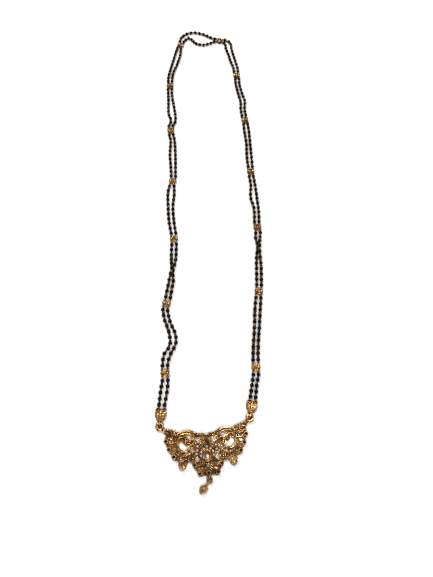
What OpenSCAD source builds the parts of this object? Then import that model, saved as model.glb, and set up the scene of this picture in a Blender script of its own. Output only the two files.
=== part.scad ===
// Necklace of two linked rows of small black beads, held side by side by cast spacers,
// with a pierced crescent pendant and a small drop. It lies flat on a surface.
// Millimetres, +Z up, the surface is Z = 0. The origin is the middle of the footprint,
// the pendant lies towards -Y and the far end of the loop towards +Y.

/* [Bead rows] */
// Diameter of a bead, and of the row as a whole
bead_d = 2.3; // [1.6:0.05:2.4]
// Distance between the two rows where a spacer holds them
row_gap = 2.7; // [2.6:0.05:3.2]
// How far the loop reaches on the surface, from the line of the end rings to its far turn
loop_reach = 286; // [274:1:298]

/* [Spacers] */
// Length of a spacer's cast body along the rows
spacer_len = 2.4; // [2.2:0.1:3.0]
// Width of a spacer's cast body across the rows
spacer_w = 4.8; // [4.5:0.1:5.6]
// Height of a spacer's cast body
spacer_h = 2.0; // [1.7:0.1:2.6]
// Outer diameter of the small loops that take the bead rows
loop_d = 1.8; // [1.6:0.05:2.1]
// Wire diameter of the small loops
loop_wire = 0.5; // [0.35:0.05:0.55]

/* [End caps] */
// Length of an end cap, from its tip to the far side of the two cups that take the rows
cap_len = 6.6; // [6.2:0.1:7.2]
// Width of an end cap over its two cups
cap_w = 5.8; // [5.4:0.1:6.6]
// Height of an end cap's ridges
cap_h = 2.2; // [2.0:0.1:2.8]
// Outer diameter of each cup
cup_d = 2.6; // [2.4:0.1:2.8]
// Width of the broad hook at an end cap's tip
hook_w = 0.8; // [0.6:0.05:0.85]

/* [Pendant] */
// Width of the crescent, without its end rings
pendant_w = 40; // [38:0.5:44]
// Height of the crescent, from the line of its end rings to its lowest edge
pendant_h = 25; // [23:0.5:28]
// Thickness of the pierced plate
plate_t = 1.2; // [1.0:0.1:1.6]
// Height of the cast relief over the plate
relief_h = 0.6; // [0.4:0.05:0.9]
// How far the pendant is turned on the surface, its right end away from the viewer
pendant_turn = 5.4; // [0:0.1:8]
// Outer diameter of the rings at the crescent's two ends
end_ring_d = 4.4; // [4.0:0.1:5.0]
// Wire diameter of those rings
end_ring_wire = 1.4; // [1.0:0.05:1.4]
// Wire diameter of the raised scrolls, arches and ribs
scroll_wire = 0.6; // [0.4:0.05:0.7]
// Width of the raised rail along the top edge
rail_w = 0.9; // [0.6:0.1:1.1]
// Length of the eye shaped setting in the middle
eye_len = 6.2; // [5.8:0.1:6.6]
// Width of the eye shaped setting
eye_w = 3.8; // [3.4:0.1:4.2]

/* [Stones] */
// Diameter of a dark stone
dark_d = 1.4; // [1.2:0.05:1.6]
// Diameter of a white stone
white_d = 1.1; // [0.9:0.05:1.2]
// Metal wall left round a dark stone
collet_wall = 0.45; // [0.35:0.05:0.6]

/* [Drop] */
// Width of the oval jump ring that carries the drop
drop_ring_w = 3.1; // [3.0:0.1:3.6]
// Length of that jump ring
drop_ring_len = 3.8; // [3.7:0.1:4.6]
// Wire diameter of that jump ring
drop_ring_wire = 0.8; // [0.6:0.05:0.85]
// Length of the drop's leaf
leaf_len = 5.2; // [4.8:0.1:6.4]
// Width of the drop's leaf
leaf_w = 3.8; // [3.2:0.1:4.4]
// Thickness of the drop's leaf
leaf_t = 1.3; // [1.0:0.1:1.7]
// How far the drop leans to the left of the pendant's own middle line
drop_lean = 44; // [20:1:60]

/* [Hidden] */
$fn = 48;

// Clearance between a bead row and the loop that takes it, and between a stone and its seat
row_clear = 0.3;
stone_clear = 0.06;
eps = 0.02;

// Where the spacers lie: x, y and the way the rows run, in degrees; here and in the two
// routes below y is given for a reach of 286 and is stretched to the loop's own
PLANNED_REACH = 286;
SPACER_STATIONS = [
    [-22.4, -102.2, 95], [-23.5, -63.2, 78], [-21.0, -21.6, 95], [-23.4, 20.4, 84],
    [-26.3, 62.3, 96], [-28.6, 103.8, 91], [-22.6, 145.2, 76], [6.5, 150.2, -8],
    [18.7, 113.8, -84], [23.5, 71.7, -82], [26.2, 28.0, -87], [28.9, -13.6, -85],
    [28.1, -55.7, -95], [24.9, -99.1, -89]
];

// The points each row passes between two stations: x, y and how far it is lifted
OUTER_ROUTE = [
    [[-24.2, -111, 0]],
    [[-23.5, -92.5, 0], [-20.5, -87, 0], [-21.5, -79.5, 0], [-24, -73, 0]],
    [[-23.3, -53.5, 0], [-22.6, -49.5, 1], [-21.9, -46.3, 2.1], [-21.2, -43.2, 2.5], [-21.5, -40, 2.2],
     [-21.8, -36, 0.9], [-22.1, -31, 0]],
    [[-24.5, -9, 0], [-25.5, 2, 0], [-26, 11, 0]],
    [[-25, 31, 0], [-26, 42, 0], [-26, 53, 0]],
    [[-26.5, 71, 0], [-28.5, 77.5, 0], [-29, 88, 0]],
    [[-30, 112.5, 0], [-28.5, 122, 0], [-26.5, 133, 0]],
    [[-22.5, 152.5, 0], [-18.5, 157.5, 0], [-12, 159, 0], [-5.5, 157, 0], [0, 153.5, 0]],
    [[12.5, 150, 0], [14.8, 147, 0], [15.5, 140.5, 0], [17.5, 131, 0], [19.5, 121, 0]],
    [[20.6, 105, 0], [22.2, 96, 0], [24, 89, 0], [23.6, 81, 0]],
    [[26, 61.5, 0], [26.5, 51, 0], [27, 40, 0]],
    [[28.6, 17, 0], [29.5, 6.5, 0], [30.1, -3, 0]],
    [[30.1, -20.5, 0.6], [29.7, -24, 2], [29.5, -27, 2.4], [29.4, -30.5, 2.2], [29.6, -34, 1.4],
     [30, -38, 0.1], [30, -43, 0]],
    [[28.5, -66.5, 0], [27.5, -77.5, 0], [26.5, -88, 0]],
    [[25, -108.5, 0]]
];
INNER_ROUTE = [
    [[-20.9, -111, 0]],
    [[-20.5, -93.5, 0], [-17.5, -86.5, 0], [-18, -80.5, 0], [-21, -74, 0]],
    [[-20.8, -54, 0], [-20.2, -50.5, 0], [-20.4, -47, 0], [-20.8, -43.5, 0], [-20.1, -40, 0],
     [-19.4, -36, 0], [-19.3, -31, 0]],
    [[-21.5, -9, 0], [-22.5, 1.5, 0], [-22, 10, 0]],
    [[-22, 30.5, 0], [-22.5, 42, 0], [-23.4, 53, 0]],
    [[-23.5, 71, 0], [-24.5, 80.5, 0], [-26.5, 92, 0]],
    [[-27, 114.5, 0], [-24.5, 124.5, 0], [-22.5, 133.5, 0]],
    [[-19.5, 150, 0], [-17, 153, 0], [-14, 151, 0], [-11.5, 147.5, 0], [-6, 145.5, 0], [-0.5, 147.2, 0]],
    [[10.9, 145.8, 0], [11.3, 141.5, 0], [13, 135.5, 0], [14.5, 128.5, 0], [16.5, 121.5, 0]],
    [[17.9, 105.5, 0], [19.4, 96.5, 0], [21, 88.5, 0], [21, 81, 0]],
    [[23, 61.5, 0], [24, 51, 0], [24, 40.5, 0]],
    [[25.9, 17.5, 0], [25.5, 8, 0], [27.3, 0, 0]],
    [[27.4, -20, 0], [28, -23.3, 0], [28.5, -26.5, 0], [28.2, -30, 0], [27.6, -33.5, 0],
     [27.4, -38, 0], [27.3, -43, 0]],
    [[25.5, -66.5, 0], [25, -76, 0], [24, -87, 0]],
    [[22.5, -108.5, 0]]
];

SPACERS = len(SPACER_STATIONS);
function padded(i) = str(i < 10 ? "0" : "", i);

// A planned y on the loop as it really reaches, measured from the line of the end rings
function laid(y) = PENDANT_AT.y + (y - PENDANT_AT.y) * loop_reach / PLANNED_REACH;

loop_r = (loop_d - loop_wire) / 2;
// Height of every small loop's middle over the surface, where a row's own middle lies
loop_z = max(bead_d, loop_d) / 2;
spacer_loop_x = spacer_len / 2 + loop_r - 0.15;
// How far from a station's middle a row starts
spacer_seat = spacer_loop_x + loop_d / 2 + row_clear;

// An end cap's tip and cups, measured along it from its middle
cap_tip = -cap_len / 2 + 0.1;
cup_x = cap_len / 2 - cup_d / 2 + 0.1;
cup_y = (cap_w - cup_d) / 2 - 0.1;
cap_seat = cup_x + cup_d / 2 + row_clear;

// The pendant's place: the middle of the line between its two end rings
PENDANT_AT = [-1.45, -127.0];
ring_r = (end_ring_d - end_ring_wire) / 2;
ring_u = pendant_w / 2 + end_ring_d / 2 + 0.2;
// The end rings stand high enough for the end caps' upright hooks to pass under them
hook_wire = 0.55;
hook_r = end_ring_wire / 2 + hook_wire / 2 + 0.32;
ring_z = hook_r + hook_wire / 2 + 0.02;
hook_x = cap_tip - hook_r + 0.1;

// An end cap's place: hooked on the end ring of one side at an angle, lying the given way
function cap_place(side, angle, way) =
    let (ring = PENDANT_AT + side * ring_u * ahead(pendant_turn))
    ring + ring_r * ahead(angle) - hook_x * ahead(way);
left_cap_way = 87;
right_cap_way = 79;
left_cap_at = cap_place(-1, left_cap_way + 5, left_cap_way);
right_cap_at = cap_place(1, right_cap_way - 3, right_cap_way);

// The end caps and the spacers in the order the rows pass them
STATIONS = concat(
    [[left_cap_at.x, left_cap_at.y, left_cap_way]],
    [for (s = SPACER_STATIONS) [s.x, laid(s.y), s.z]],
    [[right_cap_at.x, right_cap_at.y, right_cap_way - 180]]
);

// The crescent's edge from the middle of its top round to the middle of its foot:
// across as a share of half its width, and down as a share of its height
TOP_EDGE = [
    [0, 0.224], [0.06, 0.2], [0.11, 0.192], [0.2, 0.192], [0.265, 0.166], [0.32, 0.136],
    [0.38, 0.118], [0.465, 0.11], [0.56, 0.116], [0.64, 0.136], [0.675, 0.136], [0.735, 0.104],
    [0.8, 0.082], [0.92, 0.058], [0.99, 0.036]
];
SIDE_EDGE = [
    [1.045, 0.05], [1.07, 0.088], [1.025, 0.136], [1.0, 0.172], [1.0, 0.24], [1.005, 0.288],
    [0.98, 0.36], [0.955, 0.408], [0.95, 0.452], [0.91, 0.516], [0.86, 0.544], [0.855, 0.616],
    [0.815, 0.652], [0.725, 0.666], [0.715, 0.692], [0.72, 0.736], [0.7, 0.78], [0.67, 0.82],
    [0.63, 0.838], [0.59, 0.832], [0.55, 0.8], [0.515, 0.756], [0.48, 0.72], [0.445, 0.704],
    [0.405, 0.72], [0.37, 0.756], [0.365, 0.808], [0.33, 0.848], [0.29, 0.872], [0.275, 0.92],
    [0.26, 0.96], [0.215, 0.988], [0.15, 0.98], [0.095, 0.972], [0.05, 0.976], [0, 0.976]
];
// The three openings of one side, in the same shares: the window under the scroll, the
// small one inside the arch, and the slot beside the middle
OPENINGS = [
    [
        [0.615, 0.324], [0.66, 0.34], [0.675, 0.372], [0.675, 0.408], [0.65, 0.448],
        [0.61, 0.476], [0.55, 0.484], [0.49, 0.484], [0.465, 0.464], [0.465, 0.42],
        [0.495, 0.4], [0.535, 0.388], [0.565, 0.364], [0.585, 0.336]
    ],
    [
        [0.365, 0.232], [0.41, 0.22], [0.465, 0.22], [0.475, 0.236], [0.45, 0.272],
        [0.42, 0.292], [0.39, 0.276], [0.355, 0.252]
    ],
    [
        [0.125, 0.316], [0.155, 0.296], [0.21, 0.292], [0.245, 0.284], [0.265, 0.296],
        [0.25, 0.328], [0.21, 0.348], [0.16, 0.34]
    ]
];
// Small round holes of one side: across, down, and radius in mm; and the one at the foot
PIN_HOLES = [[0.36, 0.496, 0.65], [0.25, 0.672, 0.8]];
FOOT_HOLE = [0, 0.802, 0.6];
// Dark stones down the rim of one side, and the one at the foot
RIM_STONES = [
    [0.983, 0.29], [0.915, 0.444], [0.812, 0.588], [0.324, 0.776], [0.22, 0.93]
];
FOOT_STONE = [0, 0.934];
// White stones of one side, and the one on the middle line
WHITE_STONES = [
    [0.08, 0.496], [0.142, 0.55], [0.155, 0.615], [0.225, 0.436], [0.237, 0.512],
    [0.265, 0.574], [0.435, 0.56], [0.89, 0.31]
];
TOP_STONE = [0, 0.455];
// Raised arcs of one side: middle across and down, radius in mm, and from and to in degrees
ARCS = [
    [0.515, 0.38, 6.3, 50, 128], [0.515, 0.38, 5.1, 58, 122], [0.535, 0.376, 3.6, -112, 22],
    [0.595, 0.312, 1.95, 0, 220], [0.355, 0.348, 1.15, 0, 360]
];
// Raised ribs of one side, end to end: across and down, twice
RIBS = [
    [0.725, 0.328, 0.86, 0.34], [0.8, 0.364, 0.88, 0.42], [0.7, 0.484, 0.79, 0.55],
    [0.725, 0.2, 0.93, 0.16], [0.74, 0.25, 0.94, 0.23], [0.62, 0.66, 0.62, 0.8],
    [0.37, 0.39, 0.47, 0.436]
];
// Raised petals of one side: across, down, turn in degrees, length and width in mm
PETALS = [[0.617, 0.735, 6, 5.6, 4.2], [0.19, 0.86, 62, 3.4, 1.7], [0.52, 0.575, 75, 4.4, 1.7]];
// Sunk dimples of one side, between the wires: across, down, and radius in mm
DIMPLES = [[0.355, 0.348, 0.7], [0.595, 0.3, 1.2]];
function at(share) = [share.x * pendant_w / 2, -share.y * pendant_h];

eye_at = [0, 0.62];
slit_at = [0, 0.64];
slit_w = 1.2;
slit_len = 2.6;
collet_r = dark_d / 2 + collet_wall;
collet_h = plate_t + relief_h + 0.3;
dark_seat_z = collet_h - 0.75;
white_seat_z = plate_t - 0.35;

// The loop under the foot, the jump ring and the drop, down the pendant's middle line
upright_wire = 0.6;
upright_r = drop_ring_wire / 2 + upright_wire / 2 + 0.12;
upright_z = upright_r + upright_wire / 2 + 0.02;
lug_v = -pendant_h - 0.1;
drop_ring_r = (drop_ring_w - drop_ring_wire) / 2;
drop_ring_straight = drop_ring_len - drop_ring_w;
drop_ring_v = lug_v - drop_ring_r - drop_ring_straight / 2;

// Every piece by name, stones numbered from the left
DARK = 2 * len(RIM_STONES) + 1;
WHITE = 2 * len(WHITE_STONES) + 1;

function ahead(a) = [cos(a), sin(a)];
function aside(a) = [-sin(a), cos(a)];
function unit(v) = v / norm(v);
function last(list) = list[len(list) - 1];

// Where a row starts or ends at station i: side is 1 for the outer row, way is 1 after it
function seat(i, side, way) =
    let (s = STATIONS[i], reach = i == 0 || i == SPACERS + 1 ? cap_seat : spacer_seat)
    let (p = [s.x, s.y] + side * row_gap / 2 * aside(s.z) + way * reach * ahead(s.z))
    [p.x, p.y, loop_z];

// A row's points from station i to the next, seats included
function run(route, i, side) = concat(
    [seat(i, side, 1)],
    [for (p = route[i]) [p.x, laid(p.y), p.z + loop_z]],
    [seat(i + 1, side, -1)]
);

// A smooth curve through four points, between the middle two
function blend(a, b, c, d, t) =
    (2 * b + (c - a) * t + (2 * a - 5 * b + 4 * c - d) * t * t
     + (3 * b - a - 3 * c + d) * t * t * t) / 2;

// The same point, kept from dipping under the height at which a row lies on the surface
function lying(p) = [p.x, p.y, max(p.z, loop_z)];

// The run's middle line: a ring every two or three bead diameters
function middle_line(p, start, end) = let (
    n = len(p) - 1,
    reach = 4,
    q = concat([p[0] - reach * [start.x, start.y, 0]], p, [p[n] + reach * [end.x, end.y, 0]])
) concat(
    [for (k = [0:n - 1]) let (m = max(1, round(norm(p[k + 1] - p[k]) / (2.6 * bead_d))))
        for (j = [0:m - 1]) lying(blend(q[k], q[k + 1], q[k + 2], q[k + 3], j / m))],
    [p[n]]
);

module tube(path, start, end, d, sides = 8) {
    n = len(path) - 1;
    mid = [for (k = [1:n - 1]) unit(path[k + 1] - path[k - 1])];
    way = concat([[start.x, start.y, 0]], mid, [[end.x, end.y, 0]]);
    rings = [for (k = [0:n]) let (across = unit(cross([0, 0, 1], way[k])), up = cross(way[k], across))
        for (a = [0:360 / sides:359]) path[k] + d / 2 * (cos(a) * across + sin(a) * up)];
    skin = [for (k = [0:n - 1], j = [0:sides - 1]) let (j2 = (j + 1) % sides)
        [k * sides + j, (k + 1) * sides + j, (k + 1) * sides + j2, k * sides + j2]];
    polyhedron(
        points = rings,
        faces = concat(skin, [[for (j = [0:sides - 1]) j], [for (j = [sides - 1:-1:0]) n * sides + j]])
    );
}

// One row of beads and links, taken as a plain round strand in runs between the stations
module bead_row(route, side) {
    color([0.11, 0.08, 0.07])
        for (i = [0:SPACERS]) {
            start = ahead(STATIONS[i].z);
            end = ahead(STATIONS[i + 1].z);
            tube(middle_line(run(route, i, side), start, end), start, end, bead_d);
        }
}

// A ring of round wire lying flat, its middle radius r
module flat_ring(r, wire) {
    rotate_extrude() translate([r, 0]) circle(d = wire);
}

// The same ring standing up, with its hole facing sideways
module upright_ring(r, wire) {
    rotate([90, 0, 0]) flat_ring(r, wire);
}

// A cast spacer: two wings either side of a knot, with a loop for each row end
module spacer_shape() {
    wing_r = (spacer_w - row_gap) / 2;
    // The bar along the rows fills the room between the loops of one row and the other's
    bar_len = 2 * spacer_loop_x + loop_r;
    bar_w = row_gap - loop_d + 0.2;
    union() {
        for (side = [-1, 1]) {
            translate([0, side * row_gap / 2, 0]) rotate_extrude()
                polygon([
                    [0, 0], [wing_r, 0], [wing_r, spacer_h - 0.4], [wing_r * 0.55, spacer_h], [0, spacer_h]
                ]);
            for (way = [-1, 1])
                translate([way * spacer_loop_x, side * row_gap / 2, loop_z])
                    flat_ring(loop_r, loop_wire);
        }
        translate([-spacer_len / 2, -row_gap / 2, 0.25])
            cube([spacer_len, row_gap, spacer_h - 0.75]);
        translate([-bar_len / 2, -bar_w / 2, 0.4]) cube([bar_len, bar_w, spacer_h - 1.0]);
        translate([0, 0, spacer_h / 2]) rotate([90, 0, 0]) sphere(r = spacer_h / 2 - 0.05);
    }
}

module spacer(i) {
    s = STATIONS[i];
    color([0.72, 0.52, 0.28]) translate([s.x, s.y, 0]) rotate(s.z) spacer_shape();
}

// A shell shaped end cap: two cups for the rows at its wide end, a broad upright hook at its
// tip. Each cup's wall stops short of its far side, where only a round rim is left to hook
module cap_shape() {
    cup_r = cup_d / 2;
    wide = cap_w / 2;
    floor_t = 0.4;
    wall_h = cap_h - 0.5;
    wall_end = cup_x + 0.35;
    union() {
        difference() {
            union() {
                linear_extrude(wall_h)
                    polygon(concat(cap_side(1, wide, cup_x - 0.2), cap_side(-1, wide, cup_x - 0.2)));
                intersection() {
                    for (side = [-1, 1]) translate([cup_x, side * cup_y, 0]) cylinder(r = cup_r, h = wall_h);
                    translate([0, -cap_w, 0]) cube([wall_end, 2 * cap_w, wall_h]);
                }
            }
            for (side = [-1, 1])
                translate([cup_x, side * cup_y, floor_t]) cylinder(r = cup_r - 0.4, h = cap_h);
        }
        for (side = [-1, 1]) translate([cup_x, side * cup_y, 0]) {
            cylinder(r = cup_r - 0.3, h = floor_t);
            translate([0, 0, loop_z]) flat_ring(cup_r - loop_wire / 2, loop_wire);
        }
        // Ridges that fan out from the tip like a shell's, the middle one up between the cups
        translate([cap_tip + 0.3 + cap_len * 0.41, 0, 0.3]) rotate(90) eye(cap_len * 0.82, 1.1, cap_h - 0.3);
        for (side = [-1, 1])
            translate([cap_tip + cap_len * 0.33, side * cap_w * 0.24, 0.3]) rotate(90 + side * 18)
                eye(cap_len * 0.46, 1.1, cap_h - 0.45);
        translate([hook_x, 0, ring_z]) rotate([90, 0, 0]) rotate_extrude() translate([hook_r, 0])
            square([hook_wire, hook_w], center = true);
    }
}

// One side of the shell's outline, from its tip to the far end when side is 1, and back
function cap_side(side, wide, far) = let (half = [
    [cap_tip, wide * 0.33], [cap_tip + cap_len * 0.07, wide * 0.64],
    [cap_tip + cap_len * 0.22, wide * 0.86], [cap_tip + cap_len * 0.41, wide * 0.98],
    [cap_tip + cap_len * 0.6, wide], [far, wide * 0.97], [far, 0.2]
]) [for (k = [0:6]) let (q = half[side > 0 ? k : 6 - k]) [q.x, side * q.y]];

// An end cap hooks the side of the end ring that faces the rows; the last one lies the
// other way along the rows' own direction
module end_cap(i) {
    s = STATIONS[i];
    color([0.74, 0.54, 0.29]) translate([s.x, s.y, 0]) rotate(i == 0 ? s.z : s.z + 180) cap_shape();
}

// Puts a child in the pendant's own frame: across, and down as negative
module on_pendant() {
    translate([PENDANT_AT.x, PENDANT_AT.y, 0]) rotate(pendant_turn) children();
}

// An eye shaped solid, pointed at both ends, with its length along Y
module eye(len, w, h) {
    r = (len * len + w * w) / (4 * w);
    intersection_for (side = [-1, 1])
        translate([side * (r - w / 2), 0, 0]) cylinder(r = r, h = h, $fn = 96);
}

// Puts a child at a share of the crescent's size
module at_share(share) {
    p = at(share);
    translate([p.x, p.y, 0]) children();
}

// The same on both sides of the crescent's middle line
module both_sides() {
    for (k = [0, 1]) mirror([k, 0, 0]) children();
}

// A straight raised wire between two points of the crescent
module rib(a, b, d) {
    p = at(a);
    q = at(b) - p;
    translate([p.x, p.y, plate_t]) rotate(atan2(q.y, q.x)) rotate([0, 90, 0]) cylinder(d = d, h = norm(q));
}

// The plate before it is pierced, with its collets, end rings and the loop under its foot
module blank() {
    right = [for (p = concat(TOP_EDGE, SIDE_EDGE)) at(p)];
    left = [for (k = [len(right) - 2:-1:1]) [-right[k].x, right[k].y]];
    linear_extrude(plate_t) polygon(concat(right, left));
    both_sides() {
        for (p = RIM_STONES) at_share(p) cylinder(r = collet_r, h = collet_h);
        translate([ring_u, 0, ring_z]) flat_ring(ring_r, end_ring_wire);
    }
    at_share(FOOT_STONE) cylinder(r = collet_r, h = collet_h);
    translate([0, lug_v, upright_z]) rotate(90) upright_ring(upright_r, upright_wire);
}

// The raised work: the rail along the top, arches and scrolls, ribs, petals and the eye
module relief() {
    top = plate_t + relief_h;
    rail = [for (p = TOP_EDGE) at(p)];
    n = len(rail) - 1;
    both_sides() {
        linear_extrude(top - 0.15)
            polygon(concat(rail, [for (k = [n:-1:0]) rail[k] - [0, rail_w]]));
        for (a = ARCS) at_share(a) translate([0, 0, plate_t]) rotate(a[3])
            rotate_extrude(angle = a[4] - a[3]) translate([a[2], 0]) circle(d = scroll_wire);
        for (r = RIBS) rib([r[0], r[1]], [r[2], r[3]], scroll_wire);
        for (p = PETALS) at_share(p) rotate(p[2]) eye(p[3], p[4], top - 0.1);
    }
    at_share(eye_at) eye(eye_len, eye_w, top + 0.2);
}

// What is cut right through, and what is only sunk
module piercing() {
    through = plate_t + relief_h + 4;
    both_sides() {
        for (o = OPENINGS) translate([0, 0, -1]) linear_extrude(through) polygon([for (p = o) at(p)]);
        for (p = PIN_HOLES) at_share(p) translate([0, 0, -1]) cylinder(r = p.z, h = through);
        for (p = DIMPLES) at_share(p) translate([0, 0, plate_t - 0.55]) cylinder(r = p.z, h = through);
    }
    at_share(FOOT_HOLE) translate([0, 0, -1]) cylinder(r = FOOT_HOLE.z, h = through);
    at_share(eye_at) translate([0, 0, plate_t - 0.4]) eye(eye_len - 1.7, eye_w - 1.2, through);
    at_share(slit_at) {
        for (y = [-1, 1])
            translate([0, y * (slit_len - slit_w) / 2, -1]) cylinder(d = slit_w, h = through);
        translate([-slit_w / 2, -(slit_len - slit_w) / 2, -1]) cube([slit_w, slit_len - slit_w, through]);
    }
}

// The round seats the stones are set in
module seats() {
    both_sides() {
        for (p = RIM_STONES) dark_seat(p);
        for (p = WHITE_STONES) white_seat(p);
    }
    dark_seat(FOOT_STONE);
    white_seat(TOP_STONE);
}

module dark_seat(p) {
    at_share(p) translate([0, 0, dark_seat_z]) cylinder(d = dark_d + 2 * stone_clear, h = 3);
}

module white_seat(p) {
    at_share(p) translate([0, 0, white_seat_z]) cylinder(d = white_d + 2 * stone_clear, h = 3);
}

module pendant() {
    color([0.74, 0.54, 0.29]) on_pendant() difference() {
        union() {
            blank();
            relief();
        }
        piercing();
        seats();
    }
}

// A cut stone: an eight sided girdle and a crown that slopes up to the table
module stone(d, h) {
    rotate(22.5) {
        cylinder(d = d, h = h * 0.45, $fn = 8);
        translate([0, 0, h * 0.45]) cylinder(d1 = d, d2 = d * 0.6, h = h * 0.55, $fn = 8);
    }
}

// The place of stone i, numbered from the left through the one on the middle line
function mirrored(list, middle, i) = let (n = len(list))
    i == n + 1 ? middle : i <= n ? [-list[i - 1].x, list[i - 1].y] : list[2 * n + 1 - i];

module dark_stone(i) {
    color([0.06, 0.06, 0.08]) on_pendant() at_share(mirrored(RIM_STONES, FOOT_STONE, i))
        translate([0, 0, dark_seat_z + stone_clear]) stone(dark_d, 0.85);
}

module white_stone(i) {
    color([0.92, 0.91, 0.9]) on_pendant() at_share(mirrored(WHITE_STONES, TOP_STONE, i))
        translate([0, 0, white_seat_z + stone_clear]) stone(white_d, 0.8);
}

// The oval jump ring lies through the loop under the pendant's foot and carries the drop
module drop_ring() {
    color([0.72, 0.52, 0.28]) on_pendant() translate([0, drop_ring_v, upright_z]) union() {
        for (k = [0, 1]) mirror([0, k, 0]) {
            translate([0, drop_ring_straight / 2, 0])
                rotate_extrude(angle = 180) translate([drop_ring_r, 0]) circle(d = drop_ring_wire);
        }
        for (k = [-1, 1]) translate([k * drop_ring_r, drop_ring_straight / 2, 0])
            rotate([90, 0, 0]) cylinder(d = drop_ring_wire, h = drop_ring_straight);
    }
}

// The drop: an upright loop round the jump ring's wire and a leaf with a small eye hole
module drop_leaf() {
    start = upright_r - 0.1;
    mid = start + leaf_len * 0.45;
    // The leaf's half outline: along it and across it as shares of its length and width
    side = [[0, 0.1], [0.17, 0.38], [0.33, 0.48], [0.52, 0.5], [0.7, 0.46], [0.88, 0.3], [1, 0.07]];
    outline = concat(
        [for (p = side) [start + p.x * leaf_len, p.y * leaf_w]],
        [for (k = [len(side) - 1:-1:0]) [start + side[k].x * leaf_len, -side[k].y * leaf_w]]
    );
    color([0.72, 0.52, 0.28]) on_pendant()
        translate([0, drop_ring_v - drop_ring_straight / 2, 0]) rotate(-90 - drop_lean)
            translate([drop_ring_r, 0, 0]) union() {
                translate([0, 0, upright_z]) upright_ring(upright_r, upright_wire);
                difference() {
                    linear_extrude(leaf_t) polygon(outline);
                    translate([mid - 0.2, 0, -1]) cylinder(r = 0.55, h = leaf_t + 2);
                    translate([mid - 0.2, 0, leaf_t - 0.3]) cylinder(r = 1.1, h = 1);
                }
            }
}

pendant();
end_cap(0);  // left_end_cap
end_cap(SPACERS + 1);  // right_end_cap
bead_row(OUTER_ROUTE, 1);  // outer_bead_row
bead_row(INNER_ROUTE, -1);  // inner_bead_row
drop_ring();
drop_leaf();
for (i = [1:SPACERS]) spacer(i);
for (i = [1:DARK]) dark_stone(i);
for (i = [1:WHITE]) white_stone(i);
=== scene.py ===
# %% [markdown]
# # A mangalsutra, dressed on its packed frame
#
# A mangalsutra is a necklace of black beads on gold wire with a gold pendant. This one has two
# strings of beads side by side, fourteen gold spacers between them, and a crescent covered in
# granules, with a small drop under it.
#
# The packed model brings the castings, the stones' seats and two plain strands that stand for
# the bead rows. The whole necklace could be modelled again here, but then the looks would
# drift away from the part that is measured. So the castings stay as they are, and this script
# adds what a jeweller's bench adds: an antique finish, beads on wire pins, interlocking eyes,
# granules, wires, prongs and cut stones. Lengths in the tables are in millimetres, and
# Blender's are in metres.

import math

import bpy
import numpy as np
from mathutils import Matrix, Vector
from mathutils.bvhtree import BVHTree


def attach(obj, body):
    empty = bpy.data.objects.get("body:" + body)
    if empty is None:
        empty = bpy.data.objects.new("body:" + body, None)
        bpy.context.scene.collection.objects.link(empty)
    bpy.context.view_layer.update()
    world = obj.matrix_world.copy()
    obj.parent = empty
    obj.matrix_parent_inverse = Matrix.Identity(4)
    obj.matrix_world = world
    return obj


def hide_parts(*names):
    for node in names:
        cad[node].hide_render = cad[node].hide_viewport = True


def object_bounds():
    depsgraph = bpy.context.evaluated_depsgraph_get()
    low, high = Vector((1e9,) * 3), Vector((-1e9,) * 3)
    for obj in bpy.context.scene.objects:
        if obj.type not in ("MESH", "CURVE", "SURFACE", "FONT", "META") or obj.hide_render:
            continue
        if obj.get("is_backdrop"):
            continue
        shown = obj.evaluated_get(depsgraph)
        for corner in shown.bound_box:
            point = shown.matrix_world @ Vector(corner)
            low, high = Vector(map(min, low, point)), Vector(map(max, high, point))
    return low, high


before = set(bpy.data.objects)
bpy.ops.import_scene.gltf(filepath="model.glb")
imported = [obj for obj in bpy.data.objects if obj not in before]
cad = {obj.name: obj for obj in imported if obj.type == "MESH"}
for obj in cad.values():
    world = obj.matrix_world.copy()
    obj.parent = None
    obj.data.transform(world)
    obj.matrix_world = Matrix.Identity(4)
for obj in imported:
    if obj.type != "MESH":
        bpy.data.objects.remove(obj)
cad_low, cad_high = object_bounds()
cad_size = [round(1000 * (h - l), 2) for l, h in zip(cad_low, cad_high)]
print(len(cad), "CAD nodes; box in mm", cad_size)

# %% [markdown]
# ## Shader maths
#
# Aged gold is a sum of masks: where it is hollow, where it is rubbed, where it is stained. In
# the node editor each sign of that sum would be a box with wires to it. `Socket` wraps a
# node's output instead, so that a mask is written as an ordinary expression, and every sign
# in it adds a Math node.

# %% A socket that does sums
class Socket:
    """An output of a node; arithmetic on it adds Math nodes."""

    def __init__(self, finish, out):
        self.finish, self.out = finish, out

    def math(self, operation, first, second=0.0):
        return self.finish.node("ShaderNodeMath", {"operation": operation}, {0: first, 1: second})

    def __add__(self, other):
        return self.math("ADD", self, other)

    def __radd__(self, other):
        return self.math("ADD", other, self)

    def __sub__(self, other):
        return self.math("SUBTRACT", self, other)

    def __rsub__(self, other):
        return self.math("SUBTRACT", other, self)

    def __mul__(self, other):
        return self.math("MULTIPLY", self, other)

    def __rmul__(self, other):
        return self.math("MULTIPLY", other, self)

    def ramp(self, low, high):
        """0 below low, 1 above high, smooth between."""
        return self.finish.node(
            "ShaderNodeMapRange", {"interpolation_type": "SMOOTHSTEP"},
            {"Value": self, "From Min": low, "From Max": high},
        )


print("a socket takes + - * from either side, and a ramp")

# %% [markdown]
# `Finish` collects the nodes of one material. Its one `node` method makes any node from its
# type, its settings and the values or links of its inputs, so a material reads as a short
# list of what it is made of. Colours go through a Mix node, because a Math node would turn
# them grey.

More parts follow.
